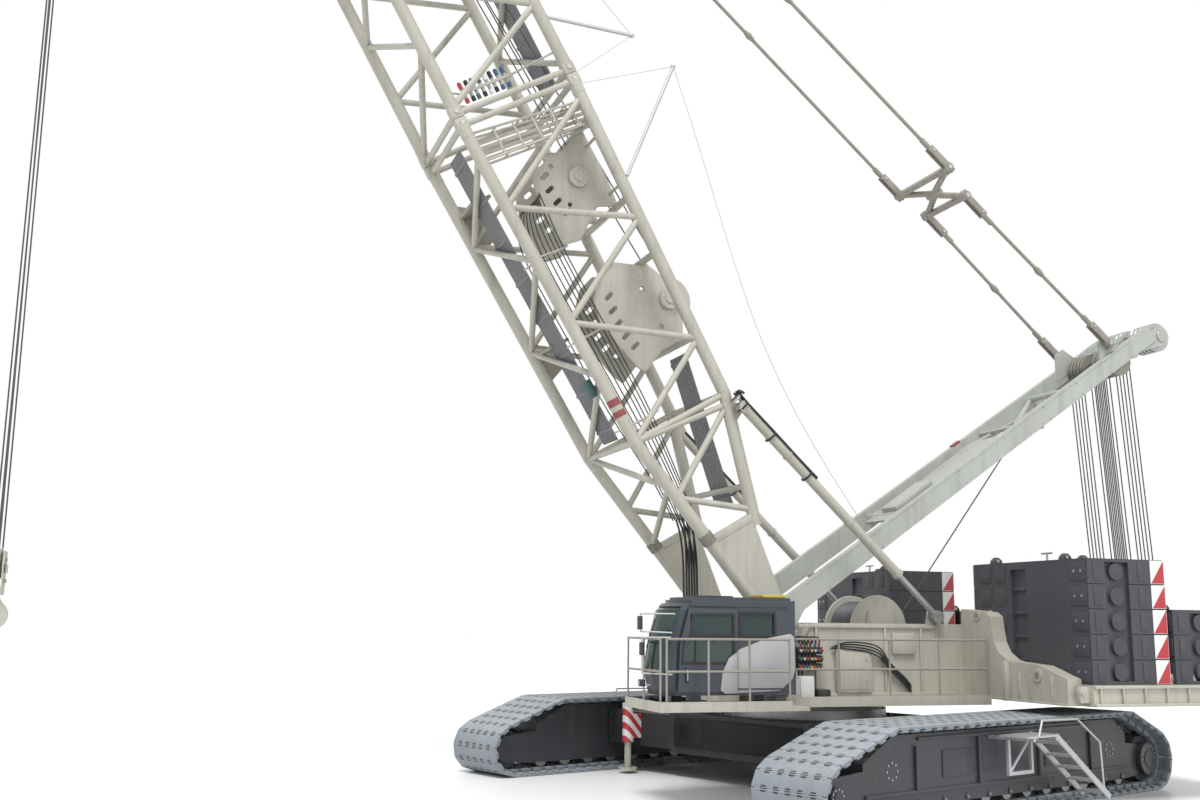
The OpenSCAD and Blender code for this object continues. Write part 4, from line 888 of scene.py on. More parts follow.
def shoe_shape(pitch, gap):
    """One shoe: x across, y along the track, z outwards, its tread at z 0."""
    def build(bm):
        half = TRACK_WIDTH / 2
        run = (pitch - gap) / 2
        block(bm, (-half, -run, -0.05), (half, run, -0.004), 0, 0.008)
        for x in (-0.62, -0.36, -0.12, 0.12, 0.36, 0.62):
            block(bm, (x - 0.055, run - 0.03, -0.045), (x + 0.055, run + gap + 0.012, -0.012), 0, 0.005, 1)
        for side in (-1, 1):
            x = side * 0.42
            block(bm, (x - 0.09, 0.02 - run, 0.002 - SHOE_DEPTH), (x + 0.09, run - 0.02, -0.045), 0, 0.01)
            block(bm, (side * (half - 0.12), -run * 0.55, -0.085), (side * half, run * 0.55, -0.045),
                  0, 0.01, 1)
            for along in (-0.5, 0.5):
                tube(bm, (x, run * along, -0.01), (x, run * along, -0.001), 0.026, 6)
        for x in (-0.5, -0.24, 0.0, 0.24, 0.5):
            for y in (-run * 0.8, run * 0.8):
                block(bm, (x - 0.05, y - 0.012, -0.008), (x + 0.05, y + 0.012, -0.001), 1)
        block(bm, (-0.14, -run * 0.7, 0.004 - SHOE_DEPTH), (0.14, run * 0.7, -0.045), 0, 0.012)
    return build


def make_tracks(sizes):
    """The loops of both tracks, shoe by shoe."""
    ends = spaced(track_outline(), sizes.shoe_count)
    pitch = (ends[1] - ends[0]).length
    shoe = small_mesh("shoe", shoe_shape(pitch, sizes.shoe_gap))
    across = Vector((1, 0, 0))
    for side, name in SIDES:
        bm = bmesh.new()
        for a, b in zip(ends, ends[1:] + ends[:1]):
            middle = (a + b) / 2
            along = Vector((0, b.x - a.x, b.y - a.y)).normalized()
            outwards = along.cross(across)
            turn = Matrix((-across, along, outwards)).transposed()
            place = Vector((side * REAR_WHEEL.x, middle.x, middle.y))
            stamp(bm, shoe, Matrix.LocRotScale(place, turn, None))
        piece = add_piece(f"track_{name}_shoes", bm, "undercarriage",
                          ["shoe steel", "black paint"], TURNED, 40)
        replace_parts(piece, f"track_{name}")


# Drums and their ropes

ROPE_PITCH = 0.032


def make_drum(node, half, core, flange, centre, place):
    """A drum with its flanges, stub axles and rope wound side by side, which stands for a node."""
    bm = bmesh.new()
    end = [(-half - 0.07, 0), (-half - 0.07, 0.09), (-half, 0.09), (-half, flange - 0.012),
           (-half + 0.012, flange), (-half + 0.028, flange), (-half + 0.04, flange - 0.012),
           (-half + 0.04, core)]
    lathe(bm, end + [(-x, r) for x, r in reversed(end)], centre, 64)
    low = -half + 0.045
    turns = round(-2 * low / ROPE_PITCH)
    pitch = -2 * low / turns
    rope = [(low, 0)]
    for turn in range(turns):
        rope += [(low + (turn + t) * pitch, core + 0.012 + pitch / 2 * math.sin(math.pi * t))
                 for t in (0.03, 0.25, 0.5, 0.75)]
    lathe(bm, rope + [(-low, 0)], centre, 48, 1)
    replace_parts(add_piece(f"{node}_wound", bm, node, ["beige paint", "rope wire"], place), node)


def make_drums():
    """The two hoist drums on the boom and the luffing drum on the deck."""
    for name, hoist in zip(("lower", "upper"), HOISTS):
        u, v, flange = hoist[2:5]
        make_drum(f"hoist_drum_{name}", 0.55, 0.33, flange, on_boom(0, u, v), BOOM)
    make_drum("luffing_drum", 0.54, 0.5, 0.65, LUFF_DRUM, WORLD)


# Hoist frames, walkways and lines on the boom

# Start and end of each hoist's plates, its drum's u, v and flange, and the plates' lower edge.
HOISTS = (
    (5.9, 7.7, 6.8, 1.5, 0.5,
     ((5.95, 0.8), (5.73, 0.32), (5.94, 0.2), (6.44, 0.07), (7.0, -0.05), (7.44, 0.05), (7.83, 0.41),
      (7.96, 0.77))),
    (8.9, 10.6, 9.75, 0.95, 0.52,
     ((9.09, 1.03), (8.61, 0.37), (8.66, 0.01), (9.1, -0.04), (9.71, -0.03), (10.1, 0.08), (10.51, 0.43),
      (10.34, 0.8))),
)
HOIST_GAP = 0.0603
HOIST_PLATE = (0.558, 0.628)
PLATE_SLOTS = ((-0.55, 0.42), (-0.27, 0.36), (0.01, 0.33), (0.29, 0.36), (0.55, 0.44))
# Face that each walkway lies on, and its start and end.
WALKS = ((1, 11.7, 19.9), (-1, 4.8, 11.2), (1, 2.6, 5.7))
WALK_HALF = 0.43
BOARDS = 8


def make_hoist_frames():
    """Pierced side plates with the drums' bearings, stiffened along their edges."""
    bm = bmesh.new()
    for start, end, u, v, _, edge in HOISTS:
        first, last = upper_edge(start), upper_edge(end)
        top = max(v + 0.2, last + 0.06)
        rim = [(-a, b) for a, b in edge]
        outline = [(-start - HOIST_GAP, first + 0.06), (-start - HOIST_GAP, first - 0.06)] + rim
        outline += [(HOIST_GAP - end, last - HOIST_GAP), (HOIST_GAP - end, last + 0.06),
                    (-u - 0.25, top), (-u + 0.25, top)]
        floor = min(b for a, b in edge)
        holes = [long_hole((a - u, floor + b - 0.06), (a - u - 0.04, floor + b + 0.06), 0.045)
                 for a, b in PLATE_SLOTS]
        holes += [round_hole(-u + a, v - 0.42, 0.05, 16) for a in (-0.42, 0.42)]
        for side in (-1, 1):
            pierced(bm, outline, holes, *(side * x for x in HOIST_PLATE))
            face = side * HOIST_PLATE[1]
            cap = face + side * 0.07
            disc(bm, (0, -u, v), 0.21, face, cap)
            disc(bm, (0, -u, v), 0.1, cap, face + side * 0.09)
            bolt_ring(bm, (cap, -u, v), (side, 0, 0), 0.165, 10, 0.018, 1)
            for p, q in zip(rim, rim[1:]):
                beam(bm, (face + side * 0.006, *p), (face + side * 0.006, *q), 0.05, 0.016, 0, 0.004)
            for a in (-0.62, 0.62):
                bolt_ring(bm, (face, -u + a, upper_edge(u) - 0.22), (side, 0, 0), 0.07, 6, 0.014, 1)
    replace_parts(add_piece("hoist_plates", bm, "boom", ["beige paint", "bare steel"], BOOM),
                "hoist_frames")


def make_catwalk(sizes):
    """Long boards with gaps on their bearers, between the chords."""
    bm = bmesh.new()
    step = 2 * WALK_HALF / BOARDS
    for face, start, end in WALKS:
        low, high = (middle_line(u) + face * half_depth(u) + sizes.brace_radius for u in (start, end))
        for k in range(BOARDS):
            x = -WALK_HALF + (k + 0.5) * step
            beam(bm, on_boom(x, start, low + 0.025), on_boom(x, end, high + 0.025), step * 0.68, 0.02, 0,
                 0.004)
        bearers = int((end - start) / 0.9)
        for k in range(bearers + 1):
            t = 0.04 + 0.92 * k / bearers
            u = start + (end - start) * t
            v = low + (high - low) * t + 0.009
            beam(bm, on_boom(-WALK_HALF, u, v), on_boom(WALK_HALF, u, v), 0.06, 0.014, 0)
    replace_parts(add_piece("walkway_boards", bm, "boom", ["grey panel"], BOOM), "catwalk")


LAMP_U = 5.93
# Places (u, v) that the boom's hoses pass and of their stands, and the hoses' places across.
HOSE_RUN = ((9.3, -0.45), (8.55, -0.5), (6.84, -0.45), (4.9, -0.38), (3.6, -0.36), (2.9, -0.4))
HOSE_STANDS = ((8.55, -0.5), (6.84, -0.45), (4.95, -0.38))
HOSE_X = (0.5, 0.555, 0.61, 0.665, 0.72, 0.775, 0.83, 0.885, 0.94, 0.995)
HOSE_RISE = 0.07
HANG_POINT = (2.9, -0.4)
# Height and finish of each coupling on the bracket of the middle section.
COUPLING_CAPS = ((-0.52, 5), (-0.38, 2), (-0.26, 4), (-0.12, 2), (0.02, 6), (0.14, 2), (0.28, 3), (0.42, 3))
COUPLING_X = 0.9


def make_boom_hoses():
    """Hydraulic hoses inside the near side of the base section, and those that hang from them to the deck."""
    random.seed(4)
    bm = bmesh.new()
    lines = []
    for k, x in enumerate(HOSE_X):
        rise = HOSE_RISE * (k - 4.5)
        sag = random.uniform(-0.03, 0.03)
        run = [on_boom(x, u, v + rise * (1.0 if u > 4 else 0.4) + sag * (i % 2))
               for i, (u, v) in enumerate(HOSE_RUN)]
        start = on_boom(x * 0.5 + 0.2, 9.5 + 0.03 * k, 0.02)
        lines.append([start, on_boom(x * 0.7 + 0.15, 9.75, -0.2 + rise * 0.5)] + run)
    hose_mesh(bm, lines, 0.0115)
    add_piece("boom_hoses", bm, "boom", ["rubber"], BOOM)
    bm = bmesh.new()
    lines = []
    u, v = HANG_POINT
    for k, x in enumerate(HOSE_X[1:-1]):
        top = BOOM @ on_boom(x, u, v + HOSE_RISE * 0.4 * (k - 3.5))
        x = 0.68 + 0.02 * k
        y = -2.78 + 0.034 * ((k * 3) % 8 - 3.5)
        lines.append([top, (x, y, top.z - 0.4), (x, y, 3.6), (x, y + 0.03, 2.9),
                      (x, y + 0.12, 2.1 - 0.04 * (k % 4)), (x, -2.5, 1.66 + 0.03 * (k % 3)),
                      (x, -2.08, 1.74)])
    hose_mesh(bm, lines, 0.02)
    hung = add_piece("hung_hoses", bm, None, ["rubber"])
    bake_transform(hung)


def make_hose_brackets():
    """Stands under the boom's hoses, and the bracket with the couplings in the middle section."""
    bm = bmesh.new()
    for u, v in HOSE_STANDS:
        foot = lower_edge(u) + 0.1
        for lift, index in ((-0.028, 0), (0.034, 1)):
            beam(bm, (0.45, -u, v - 0.37 + lift), (1.05, -u, v + 0.37 + lift), 0.04, 0.014, index, 0.003,
                 up=(0, -1, 0))
        tube(bm, (0.47, -u, v - 0.39), (CHORD_X - 0.04, -u, foot), 0.018, 8)
        tube(bm, (1.04, -u, v + 0.34), (CHORD_X - 0.02, -u, foot), 0.018, 8)
    block(bm, (0.93, -12.08, -0.62), (0.96, -12.02, 0.56), 0, 0.006)
    for v, chord_v in ((-0.6, CENTRE_LIFT - 1.2), (0.54, CENTRE_LIFT + 1.2)):
        tube(bm, (0.95, -12.05, v), (CHORD_X - 0.02, -12.05, chord_v), 0.02, 10)
    for v, index in COUPLING_CAPS:
        for start, end, radius, finish in (
                (-12.14, -11.94, 0.034, 1), (-12.25, -12.14, 0.042, index), (-11.94, -11.85, 0.042, index)):
            tube(bm, (COUPLING_X, start, v), (COUPLING_X, end, v), radius, 12, finish)
        ball(bm, (COUPLING_X, -12.25, v), 0.042, index, 5)
    add_piece("hose_brackets", bm, "boom",
              ["beige paint", "bare steel", "rubber", "blue cap", "green cap", "red paint", "white paint"],
              BOOM)


def make_boom_fittings(sizes):
    """Panels, marks and the railed platform of the boom."""
    bm = bmesh.new()
    for near, far in ((10.6, 9.4), (7.35, 6.4)):
        low = lower_edge(far)
        panel = [(-near, low), (-far, low), (-far - 0.2, low + 0.5), (-near + 0.35, low + 0.56)]
        plate(bm, panel, -CHORD_X - 0.03, -CHORD_X + 0.03, 1, 0.006)
        block(bm, (-CHORD_X, -near + 0.3, low - 0.03), (-0.2, -near + 0.36, low + 0.42), 1, 0.006)
    block(bm, (0.84, -6.1, -1.12), (1.14, -5.74, -0.97), 2, 0.03)
    low = lower_edge(LAMP_U)
    for x in (0.86, 1.12):
        tube(bm, (x, -LAMP_U, -0.97), (x, -LAMP_U, low), 0.016, 8, 3)
    tube(bm, (0.8, -LAMP_U, low), chord(1, -1, LAMP_U), 0.02, 8, 3)
    for start, end in ((5.2, 5.32), (5.42, 5.56)):
        tube(bm, chord(1, -1, start), chord(1, -1, end), sizes.chord_radius + 0.004, 20, 4)
    make_side_platform(bm, sizes)
    for u in (9.2, 10.25):
        tube(bm, chord(1, 1, u), chord(-1, 1, u), 0.03, 10)
    add_piece("boom_fittings", bm, "boom",
              ["beige paint", "drab paint", "teal cover", "zinc steel", "faded red"], BOOM)


def make_side_platform(bm, sizes):
    """The railed platform across the near side of the base section, just below its end."""
    x, foot, top = 1.27, -0.88, 1.6
    outer, inner = (11.19, 0.21), (10.62, 0.09)

    def rail(side, t):
        """A point of the outer or inner rail, from its foot at t 0 to its top at t 1."""
        u, lean = side
        return on_boom(x, u - lean * t, foot + (top - foot) * t)

    depth = Vector((0.34, 0, 0))
    for side in (outer, inner):
        for lift in (depth * 0, depth):
            tube(bm, rail(side, 0) - lift, rail(side, 1) - lift, sizes.rail_radius * 1.3, 10)
        for k in range(6):
            tube(bm, rail(side, k / 5), rail(side, k / 5) - depth, sizes.rail_radius, 10)
    for k in range(7):
        beam(bm, rail(outer, k / 6), rail(inner, k / 6), 0.04, 0.03, 0, 0.006, up=(1, 0, 0))
    for k in range(4):
        u = 10.73 + 0.11 * k
        beam(bm, on_boom(x - 0.36, u, foot), on_boom(x - 0.36, u - 0.13, top), 0.075, 0.02, 0, 0.004,
             up=(1, 0, 0))


def make_boom_ropes(sizes):
    """Stand-off struts with their wires, and the ropes from the hoist drums to the boom's head."""
    bm = bmesh.new()
    lower_tip, upper_tip = Vector((1.4, -3.42, 13.97)), Vector((1.4, -4.3, 14.48))
    tube(bm, (1.4, -4.38, 11.56), lower_tip, 0.034, 12)
    tube(bm, (1.35, -6.18, 14.6), upper_tip, 0.034, 12)
    for tip, u in ((lower_tip, 11.3), (upper_tip, 11.5)):
        ball(bm, tip, 0.05)
        tube(bm, tip, BOOM @ on_boom(CHORD_X, u, 1.5), 0.007, 6)
    upper_wire = [upper_tip, (1.4, -5.2, 15.4), (1.38, -7.6, 17.9), (1.36, -9.4, 20.2)]
    lower_wire = [lower_tip, (1.3, -2.75, 12.3), (1.25, -1.95, 9.5), (1.1, -0.7, 7.0), (0.93, 1.17, 4.72)]
    hose_mesh(bm, [upper_wire, lower_wire], 0.006, 0, 2)
    add_piece("standoff_struts", bm, "boom", ["zinc steel"])
    bm = bmesh.new()
    # Place of each drum's rope on the drum and on the head's sheaves, from the middle.
    for hoist, drum_x, head_x in zip(HOISTS, (0.3, 0.12), (0.35, 0.25)):
        u, v = hoist[2:4]
        for side in (-1, 1):
            tube(bm, on_boom(side * drum_x, u, v + 0.36),
                 on_boom(side * head_x, BOOM_END, CENTRE_LIFT + 0.26), sizes.rope_radius, 8)
    add_piece("hoist_fall_ropes", bm, "boom", ["rope wire"], BOOM)


# Pendants and mast

PENDANT_TOP = BOOM @ on_boom(0, 27.57, 1.29)
PENDANT_LOW = MAST @ Vector((0, 10.74, 0.63))
YOKE_START = 4.68
YOKE_LENGTH = 0.76
# Places across and along the pendants.
PENDANT_PINS = ((0.84, 0.0), (0.74, YOKE_START), (0.96, YOKE_START + YOKE_LENGTH))
PENDANT_COLLARS = ((0.79, 2.3), (0.93, 10.5), (0.9, 15.8))


def make_pendant_links():
    """Link plates, collars and pin heads of the pendants, and the bars of their yoke."""
    bm = bmesh.new()
    along = (PENDANT_TOP - PENDANT_LOW).normalized()
    up = Vector((1, 0, 0)).cross(along)

    def on_pendant(x, s):
        """A point at x across and s along the pendants."""
        place = PENDANT_LOW + along * s
        place.x = x
        return place

    for side in (-1, 1):
        for x, s in PENDANT_PINS + ((0.84, (PENDANT_TOP - PENDANT_LOW).length),):
            eye = on_pendant(side * x, s)
            ahead = along * (1 if s in (0.0, YOKE_START + YOKE_LENGTH) else -1)
            for offset in (Vector((-0.062, 0, 0)), Vector((0.062, 0, 0))):
                beam(bm, eye - ahead * 0.13 + offset, eye + ahead * 0.62 + offset, 0.03, 0.15, 0, 0.012,
                     up=up)
            pin(bm, eye.x - 0.11, eye.x + 0.11, eye.y, eye.z, 0.05, 16, 1)
            tube(bm, eye + ahead * 0.55, eye + ahead * 0.86, 0.058, 16)
            bolt = eye + ahead * 0.52
            pin(bm, bolt.x - 0.095, bolt.x + 0.095, bolt.y, bolt.z, 0.03, 12, 1)
        for x, s in PENDANT_COLLARS:
            tube(bm, on_pendant(side * x, s - 0.12), on_pendant(side * x, s + 0.12), 0.055, 14)
            tube(bm, on_pendant(side * x, s - 0.05), on_pendant(side * x, s + 0.05), 0.072, 14)
    for x, s in PENDANT_PINS[1:]:
        beam(bm, on_pendant(-x, s), on_pendant(x, s), 0.12, 0.17, 0, 0.015, up=up)
    add_piece("pendant_links", bm, "boom", ["drab paint", "bare steel"])


FALLS = [side * (0.2 + k * 0.11) for side in (-1, 1) for k in range(5)]
ROPE_REACH = 0.3
LOWER_BLOCK = Vector((0, 8.24, 2.75))
UPPER_ROW = Vector((0, 10.9, 0.1))
WINCH_GUIDE = Vector((0, 8.05, 0.03))
TRAY_REAR = 7.165


def add_sheaves(bm, centre):
    """A row of narrow rope sheaves, one for each pair of falls."""
    rim = ROPE_REACH + 0.025
    groove = rim - 0.035
    for x in FALLS:
        lathe(bm, ((x - 0.03, 0), (x - 0.03, rim), (x - 0.008, groove), (x + 0.008, groove), (x + 0.03, rim),
                   (x + 0.03, 0)), centre, 40, 1)


def straight(a, b, steps):
    """Even points from a to b, through which a rope's curve is drawn."""
    return [a.lerp(b, t / steps) for t in range(steps + 1)]


def make_luffing_ropes(sizes):
    """Rope falls from the mast's head to the block behind the tray, and the winch's line to the mast."""
    bm = bmesh.new()
    head = MAST @ UPPER_ROW
    for x in FALLS:
        for reach in (-ROPE_REACH, ROPE_REACH):
            offset = Vector((x, reach, 0))
            hose_mesh(bm, [straight(head + offset, LOWER_BLOCK + offset, 24)], sizes.rope_radius, 0, 2)
    ropes = add_piece("luffing_ropes", bm, None, ["rope wire"])
    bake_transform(ropes)
    bm = bmesh.new()
    guide = MAST @ WINCH_GUIDE
    drum = LUFF_DRUM + Vector((0, 0.785, -0.62)) * 0.52
    hose_mesh(bm, [straight(guide, drum, 20)], sizes.rope_radius, 0, 2)
    line = add_piece("winch_line", bm, None, ["rope wire"])
    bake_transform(line)
    bm = bmesh.new()
    add_sheaves(bm, LOWER_BLOCK)
    y, z = LOWER_BLOCK.yz
    arm = [(TRAY_REAR, 1.75), (y + 0.16, z - 0.12), (y + 0.16, z + 0.12), (y - 0.16, z + 0.14),
           (TRAY_REAR, 2.3)]
    for x in (-0.12, -0.72, 0.12, 0.72):
        plate(bm, arm, x - 0.02, x + 0.02, 0, 0.008)
    pin(bm, -0.8, 0.8, y, z, 0.06, 20, 1)
    block(bm, (-0.8, TRAY_REAR, 1.75), (0.8, 7.2, 2.34), 0, 0.008)
    add_piece("lower_luffing_block", bm, "superstructure", ["beige paint", "grey panel"])
    bm = bmesh.new()
    add_sheaves(bm, UPPER_ROW)
    pin(bm, -0.72, 0.72, UPPER_ROW.y, UPPER_ROW.z, 0.055, 20, 1)
    add_piece("mast_rope_row", bm, "mast", ["mast paint", "drab paint"], MAST)


def leg_middle(y):
    """Middle of a mast leg at y along the mast: its side distance and its height."""
    t = y / MAST_LENGTH
    return 0.95 - 0.19 * t, 0.33 - 0.13 * t


def make_mast_fittings():
    """Cover strips, bolts, covers, rope guides and pin heads of the mast."""
    bm = bmesh.new()
    for side in (-1, 1):
        for y in (1.6, 3.1, 4.2, 5.6, 7.0, 8.3, 9.4, 10.4):
            x, z = leg_middle(y)
            for h in (-0.16, 0.14):
                pin(bm, side * (x + 0.07), side * (x + 0.092), y, z + h, 0.022, 6, 1)
        (x0, z0), (x1, z1) = leg_middle(1.2), leg_middle(11.2)
        for h in (-0.19, 0.18):
            beam(bm, (side * (x0 + 0.078), 1.2, z0 + h), (side * (x1 + 0.078), 11.2, z1 + h * 0.9),
                 0.012, 0.03, 0, 0.003)
        x, z = leg_middle(0)
        disc(bm, (0, 0, 0), 0.2, side * (x + 0.07), side * (x + 0.1))
        disc(bm, (0, MAST_LENGTH, 0), 0.13, side * 0.8, side * 0.83, 1)
    block(bm, (-0.66, 3.9, 0.27), (0.66, 7.3, 0.33), 0, 0.02)
    block(bm, (-0.3, 4.2, 0.33), (0.3, 5.3, 0.46), 0, 0.04)
    block(bm, (-0.9, 6.9, 0.43), (-0.76, 7.15, 0.49), 3, 0.02)
    pin(bm, -0.8, 0.8, 7.7, 0.3, 0.05)
    pin(bm, -0.75, 0.75, 8.12, 0.0, 0.035)
    disc(bm, (0, 8.12, 0.0), 0.09, -0.04, 0.04, 1)
    for y in (11.1, 11.6):
        pin(bm, -0.7, 0.7, y, 0.36, 0.05, 14)
    guard = [(10.95, 0.3), (11.75, 0.3), (11.75, 0.46), (11.35, 0.5), (10.95, 0.46)]
    for x in (-0.45, 0.0, 0.45):
        plate(bm, guard, x - 0.012, x + 0.012, 0, 0.004)
    for x in (0.15, 0.3):
        tube(bm, (x, 9.4, 0.3), (x, MAST_LENGTH - 0.25, 0.3), 0.014, 8, 4)
    add_piece("mast_fittings", bm, "mast",
              ["mast paint", "bare steel", "zinc steel", "faded red", "rope wire"], MAST)


# Backstops

STOP_ALONG = joint_axis("backstop_stroke").normalized()


def make_backstop_fittings():
    """Collars on the backstops' tubes, and the hoses that lie along them."""
    bm = bmesh.new()
    across = Vector((1, 0, 0))
    lift = across.cross(STOP_ALONG)
    if lift.z < 0:
        lift = -lift
    for side in (-1, 1):
        foot = Vector((side * STOP_FOOT_X, STOP_FOOT.y, STOP_FOOT.z))

        def at(s, off=Vector()):
            """A point at s along this backstop, moved off its middle."""
            return foot + STOP_ALONG * s + off

        for s, reach in ((1.15, 0.07), (2.6, 0.05), (4.4, 0.05), (5.9, 0.05)):
            tube(bm, at(s), at(s + reach), 0.112, 24)
        random.seed(7)
        lines = []
        for k in range(6):
            a = (k - 2.5) * 0.34
            out = lift * math.cos(a) + across * math.sin(a)
            line = [at(s, out * (0.114 + random.uniform(0, 0.014))) for s in (3.7, 4.2, 4.8, 5.4, 5.9)]
            lines.append(line + [at(6.08, out * 0.15), at(5.9, out * 0.2)])
        hose_mesh(bm, lines, 0.016, 1)
        for s in (3.85, 4.9, 5.7):
            tube(bm, at(s), at(s + 0.03), 0.135, 20, 1)
    add_piece("backstop_hoses", bm, "backstop_sleeves", ["beige paint", "rubber"])


# Cab

DECK_TOP = 1.64
CAB_LOW, CAB_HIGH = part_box("cab_shell")
DOOR_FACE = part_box("cab_door")[1].x
SIDE_PANEL = [(-3.21, 1.92), (-3.17, 2.22), (-3.05, 2.46), (-2.81, 2.61), (-2.28, 2.80), (-1.83, 2.88),
              (-1.755, 2.82), (-1.745, 2.27), (-1.80, 2.10), (-2.05, 1.90), (-3.12, 1.86)]
DOOR_PANES = (((-3.76, 2.85), (-2.95, 2.85), (-2.95, 3.2), (-3.7, 3.2)),
              ((-3.91, 2.38), (-2.95, 2.38), (-2.95, 2.79), (-3.88, 2.79)))
REAR_PANE = ((-2.79, 2.84), (-2.12, 2.84), (-2.12, 3.23), (-2.79, 3.23))


def cut_outline(points, at, keep):
    """The part of an outline of (y, z) points before or behind a y."""
    kept = []
    for a, b in zip(points, points[1:] + points[:1]):
        if (a[0] - at) * keep >= 0:
            kept.append(a)
        if (a[0] - at) * (b[0] - at) < 0:
            t = (at - a[0]) / (b[0] - a[0])
            kept.append((at, a[1] + (b[1] - a[1]) * t))
    return kept


def grown(points, by):
    """An outline of (y, z) points moved outwards from its middle."""
    middle = [sum(p[i] for p in points) / len(points) for i in (0, 1)]
    return [tuple(p[i] + by * (1 if p[i] > middle[i] else -1) for i in (0, 1)) for p in points]


def make_cab_skin():
    """Pale side panels, rubber round the panes, the door's glass and the handles."""
    bm = bmesh.new()
    plate(bm, cut_outline(SIDE_PANEL, -2.87, 1), 2.962, 2.993, 0, 0.006)
    pierced(bm, grown(REAR_PANE, 0.03), [grown(REAR_PANE, -0.02)], 2.953, 2.972, 1)
    add_piece("cab_side_panel", bm, "superstructure", ["pale panel", "rubber"])
    bm = bmesh.new()
    plate(bm, cut_outline(SIDE_PANEL, -2.89, -1), DOOR_FACE + 0.001, DOOR_FACE + 0.014, 0, 0.004)
    for pane in DOOR_PANES:
        pierced(bm, grown(pane, 0.028), [grown(pane, -0.018)], DOOR_FACE - 0.01, DOOR_FACE + 0.008, 1)
    block(bm, (DOOR_FACE, -3.86, 2.05), (DOOR_FACE + 0.03, -3.8, 2.3), 1, 0.01)
    tube(bm, (DOOR_FACE + 0.035, -3.83, 2.08), (DOOR_FACE + 0.035, -3.83, 2.27), 0.011, 10, 2)
    add_piece("door_trim", bm, "cab_door", ["pale panel", "rubber", "zinc steel"])
    bm = bmesh.new()
    for pane in DOOR_PANES:
        plate(bm, grown(pane, -0.001), DOOR_FACE - 0.026, DOOR_FACE - 0.018, 0)
    add_piece("door_glass", bm, "cab_door", ["tinted glass"])


def cushion(bm, low, high, crown):
    """A soft block whose faces are crowned and whose edges are round."""
    low, high = Vector(low), Vector(high)
    part = bmesh.new()
    bmesh.ops.create_cube(part, size=2.0)
    bmesh.ops.subdivide_edges(part, edges=part.edges, cuts=7, use_grid_fill=True)
    half = (high - low) / 2
    for vert in part.verts:
        p = vert.co.copy()
        away = p.length_squared
        vert.co = [p[i] * math.sqrt(1 - (away - p[i] * p[i]) / 3 * 0.35) * half[i] for i in range(3)]
        vert.co.z += math.copysign(crown * (1 - p.x * p.x) * (1 - p.y * p.y), p.z)
    bmesh.ops.translate(part, verts=part.verts, vec=(low + high) / 2)
    absorb(bm, part)


def make_cab_inside():
    """Seat, consoles with their levers, display and sun visor."""
    bm = bmesh.new()
    x = (CAB_LOW.x + CAB_HIGH.x) / 2 - 0.01
    cushion(bm, (x - 0.26, -2.98, 2.25), (x + 0.26, -2.46, 2.36), 0.02)
    cushion(bm, (x - 0.24, -2.56, 2.38), (x + 0.24, -2.43, 2.92), 0.01)
    cushion(bm, (x - 0.14, -2.53, 2.88), (x + 0.14, -2.42, 2.99), 0.005)
    seat = add_piece("driver_cushions", bm, "superstructure", ["seat cloth"], smooth=80)
    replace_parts(seat, "operator_seat")
    bm = bmesh.new()
    floor_z = CAB_LOW.z + 0.26
    block(bm, (x - 0.2, -2.9, floor_z), (x + 0.2, -2.5, floor_z + 0.08), 0, 0.02)
    for k in range(4):
        z = floor_z + 0.09 + k * 0.06
        block(bm, (x - 0.17, -2.86, z), (x + 0.17, -2.54, z + 0.04), 0, 0.015)
    for lever in (x - 0.36, x + 0.36):
        block(bm, (lever - 0.06, -3.05, 2.1), (lever + 0.06, -2.5, 2.5), 0, 0.03)
        tube(bm, (lever, -2.98, 2.49), (lever, -3.0, 2.62), 0.014, 10, 1)
        ball(bm, (lever, -3.0, 2.65), 0.035, 0, 6)
    block(bm, (x + 0.3, -3.5, 2.5), (x + 0.5, -3.45, 2.8), 0, 0.015)
    block(bm, (x + 0.315, -3.447, 2.52), (x + 0.485, -3.443, 2.78), 2)
    tube(bm, (x + 0.4, -3.47, 1.92), (x + 0.4, -3.47, 2.52), 0.02, 10)
    block(bm, (x - 0.4, -3.72, 3.22), (x + 0.4, -3.7, 3.36), 3, 0.006)
    tube(bm, (x - 0.42, -3.7, 3.36), (x + 0.42, -3.7, 3.36), 0.02, 12)
    block(bm, (x - 0.5, -3.95, 1.92), (x + 0.5, -3.75, 2.14), 0, 0.03)
    add_piece("cab_controls", bm, "superstructure",
              ["rubber", "bare steel", "blue cap", "teal cover"])


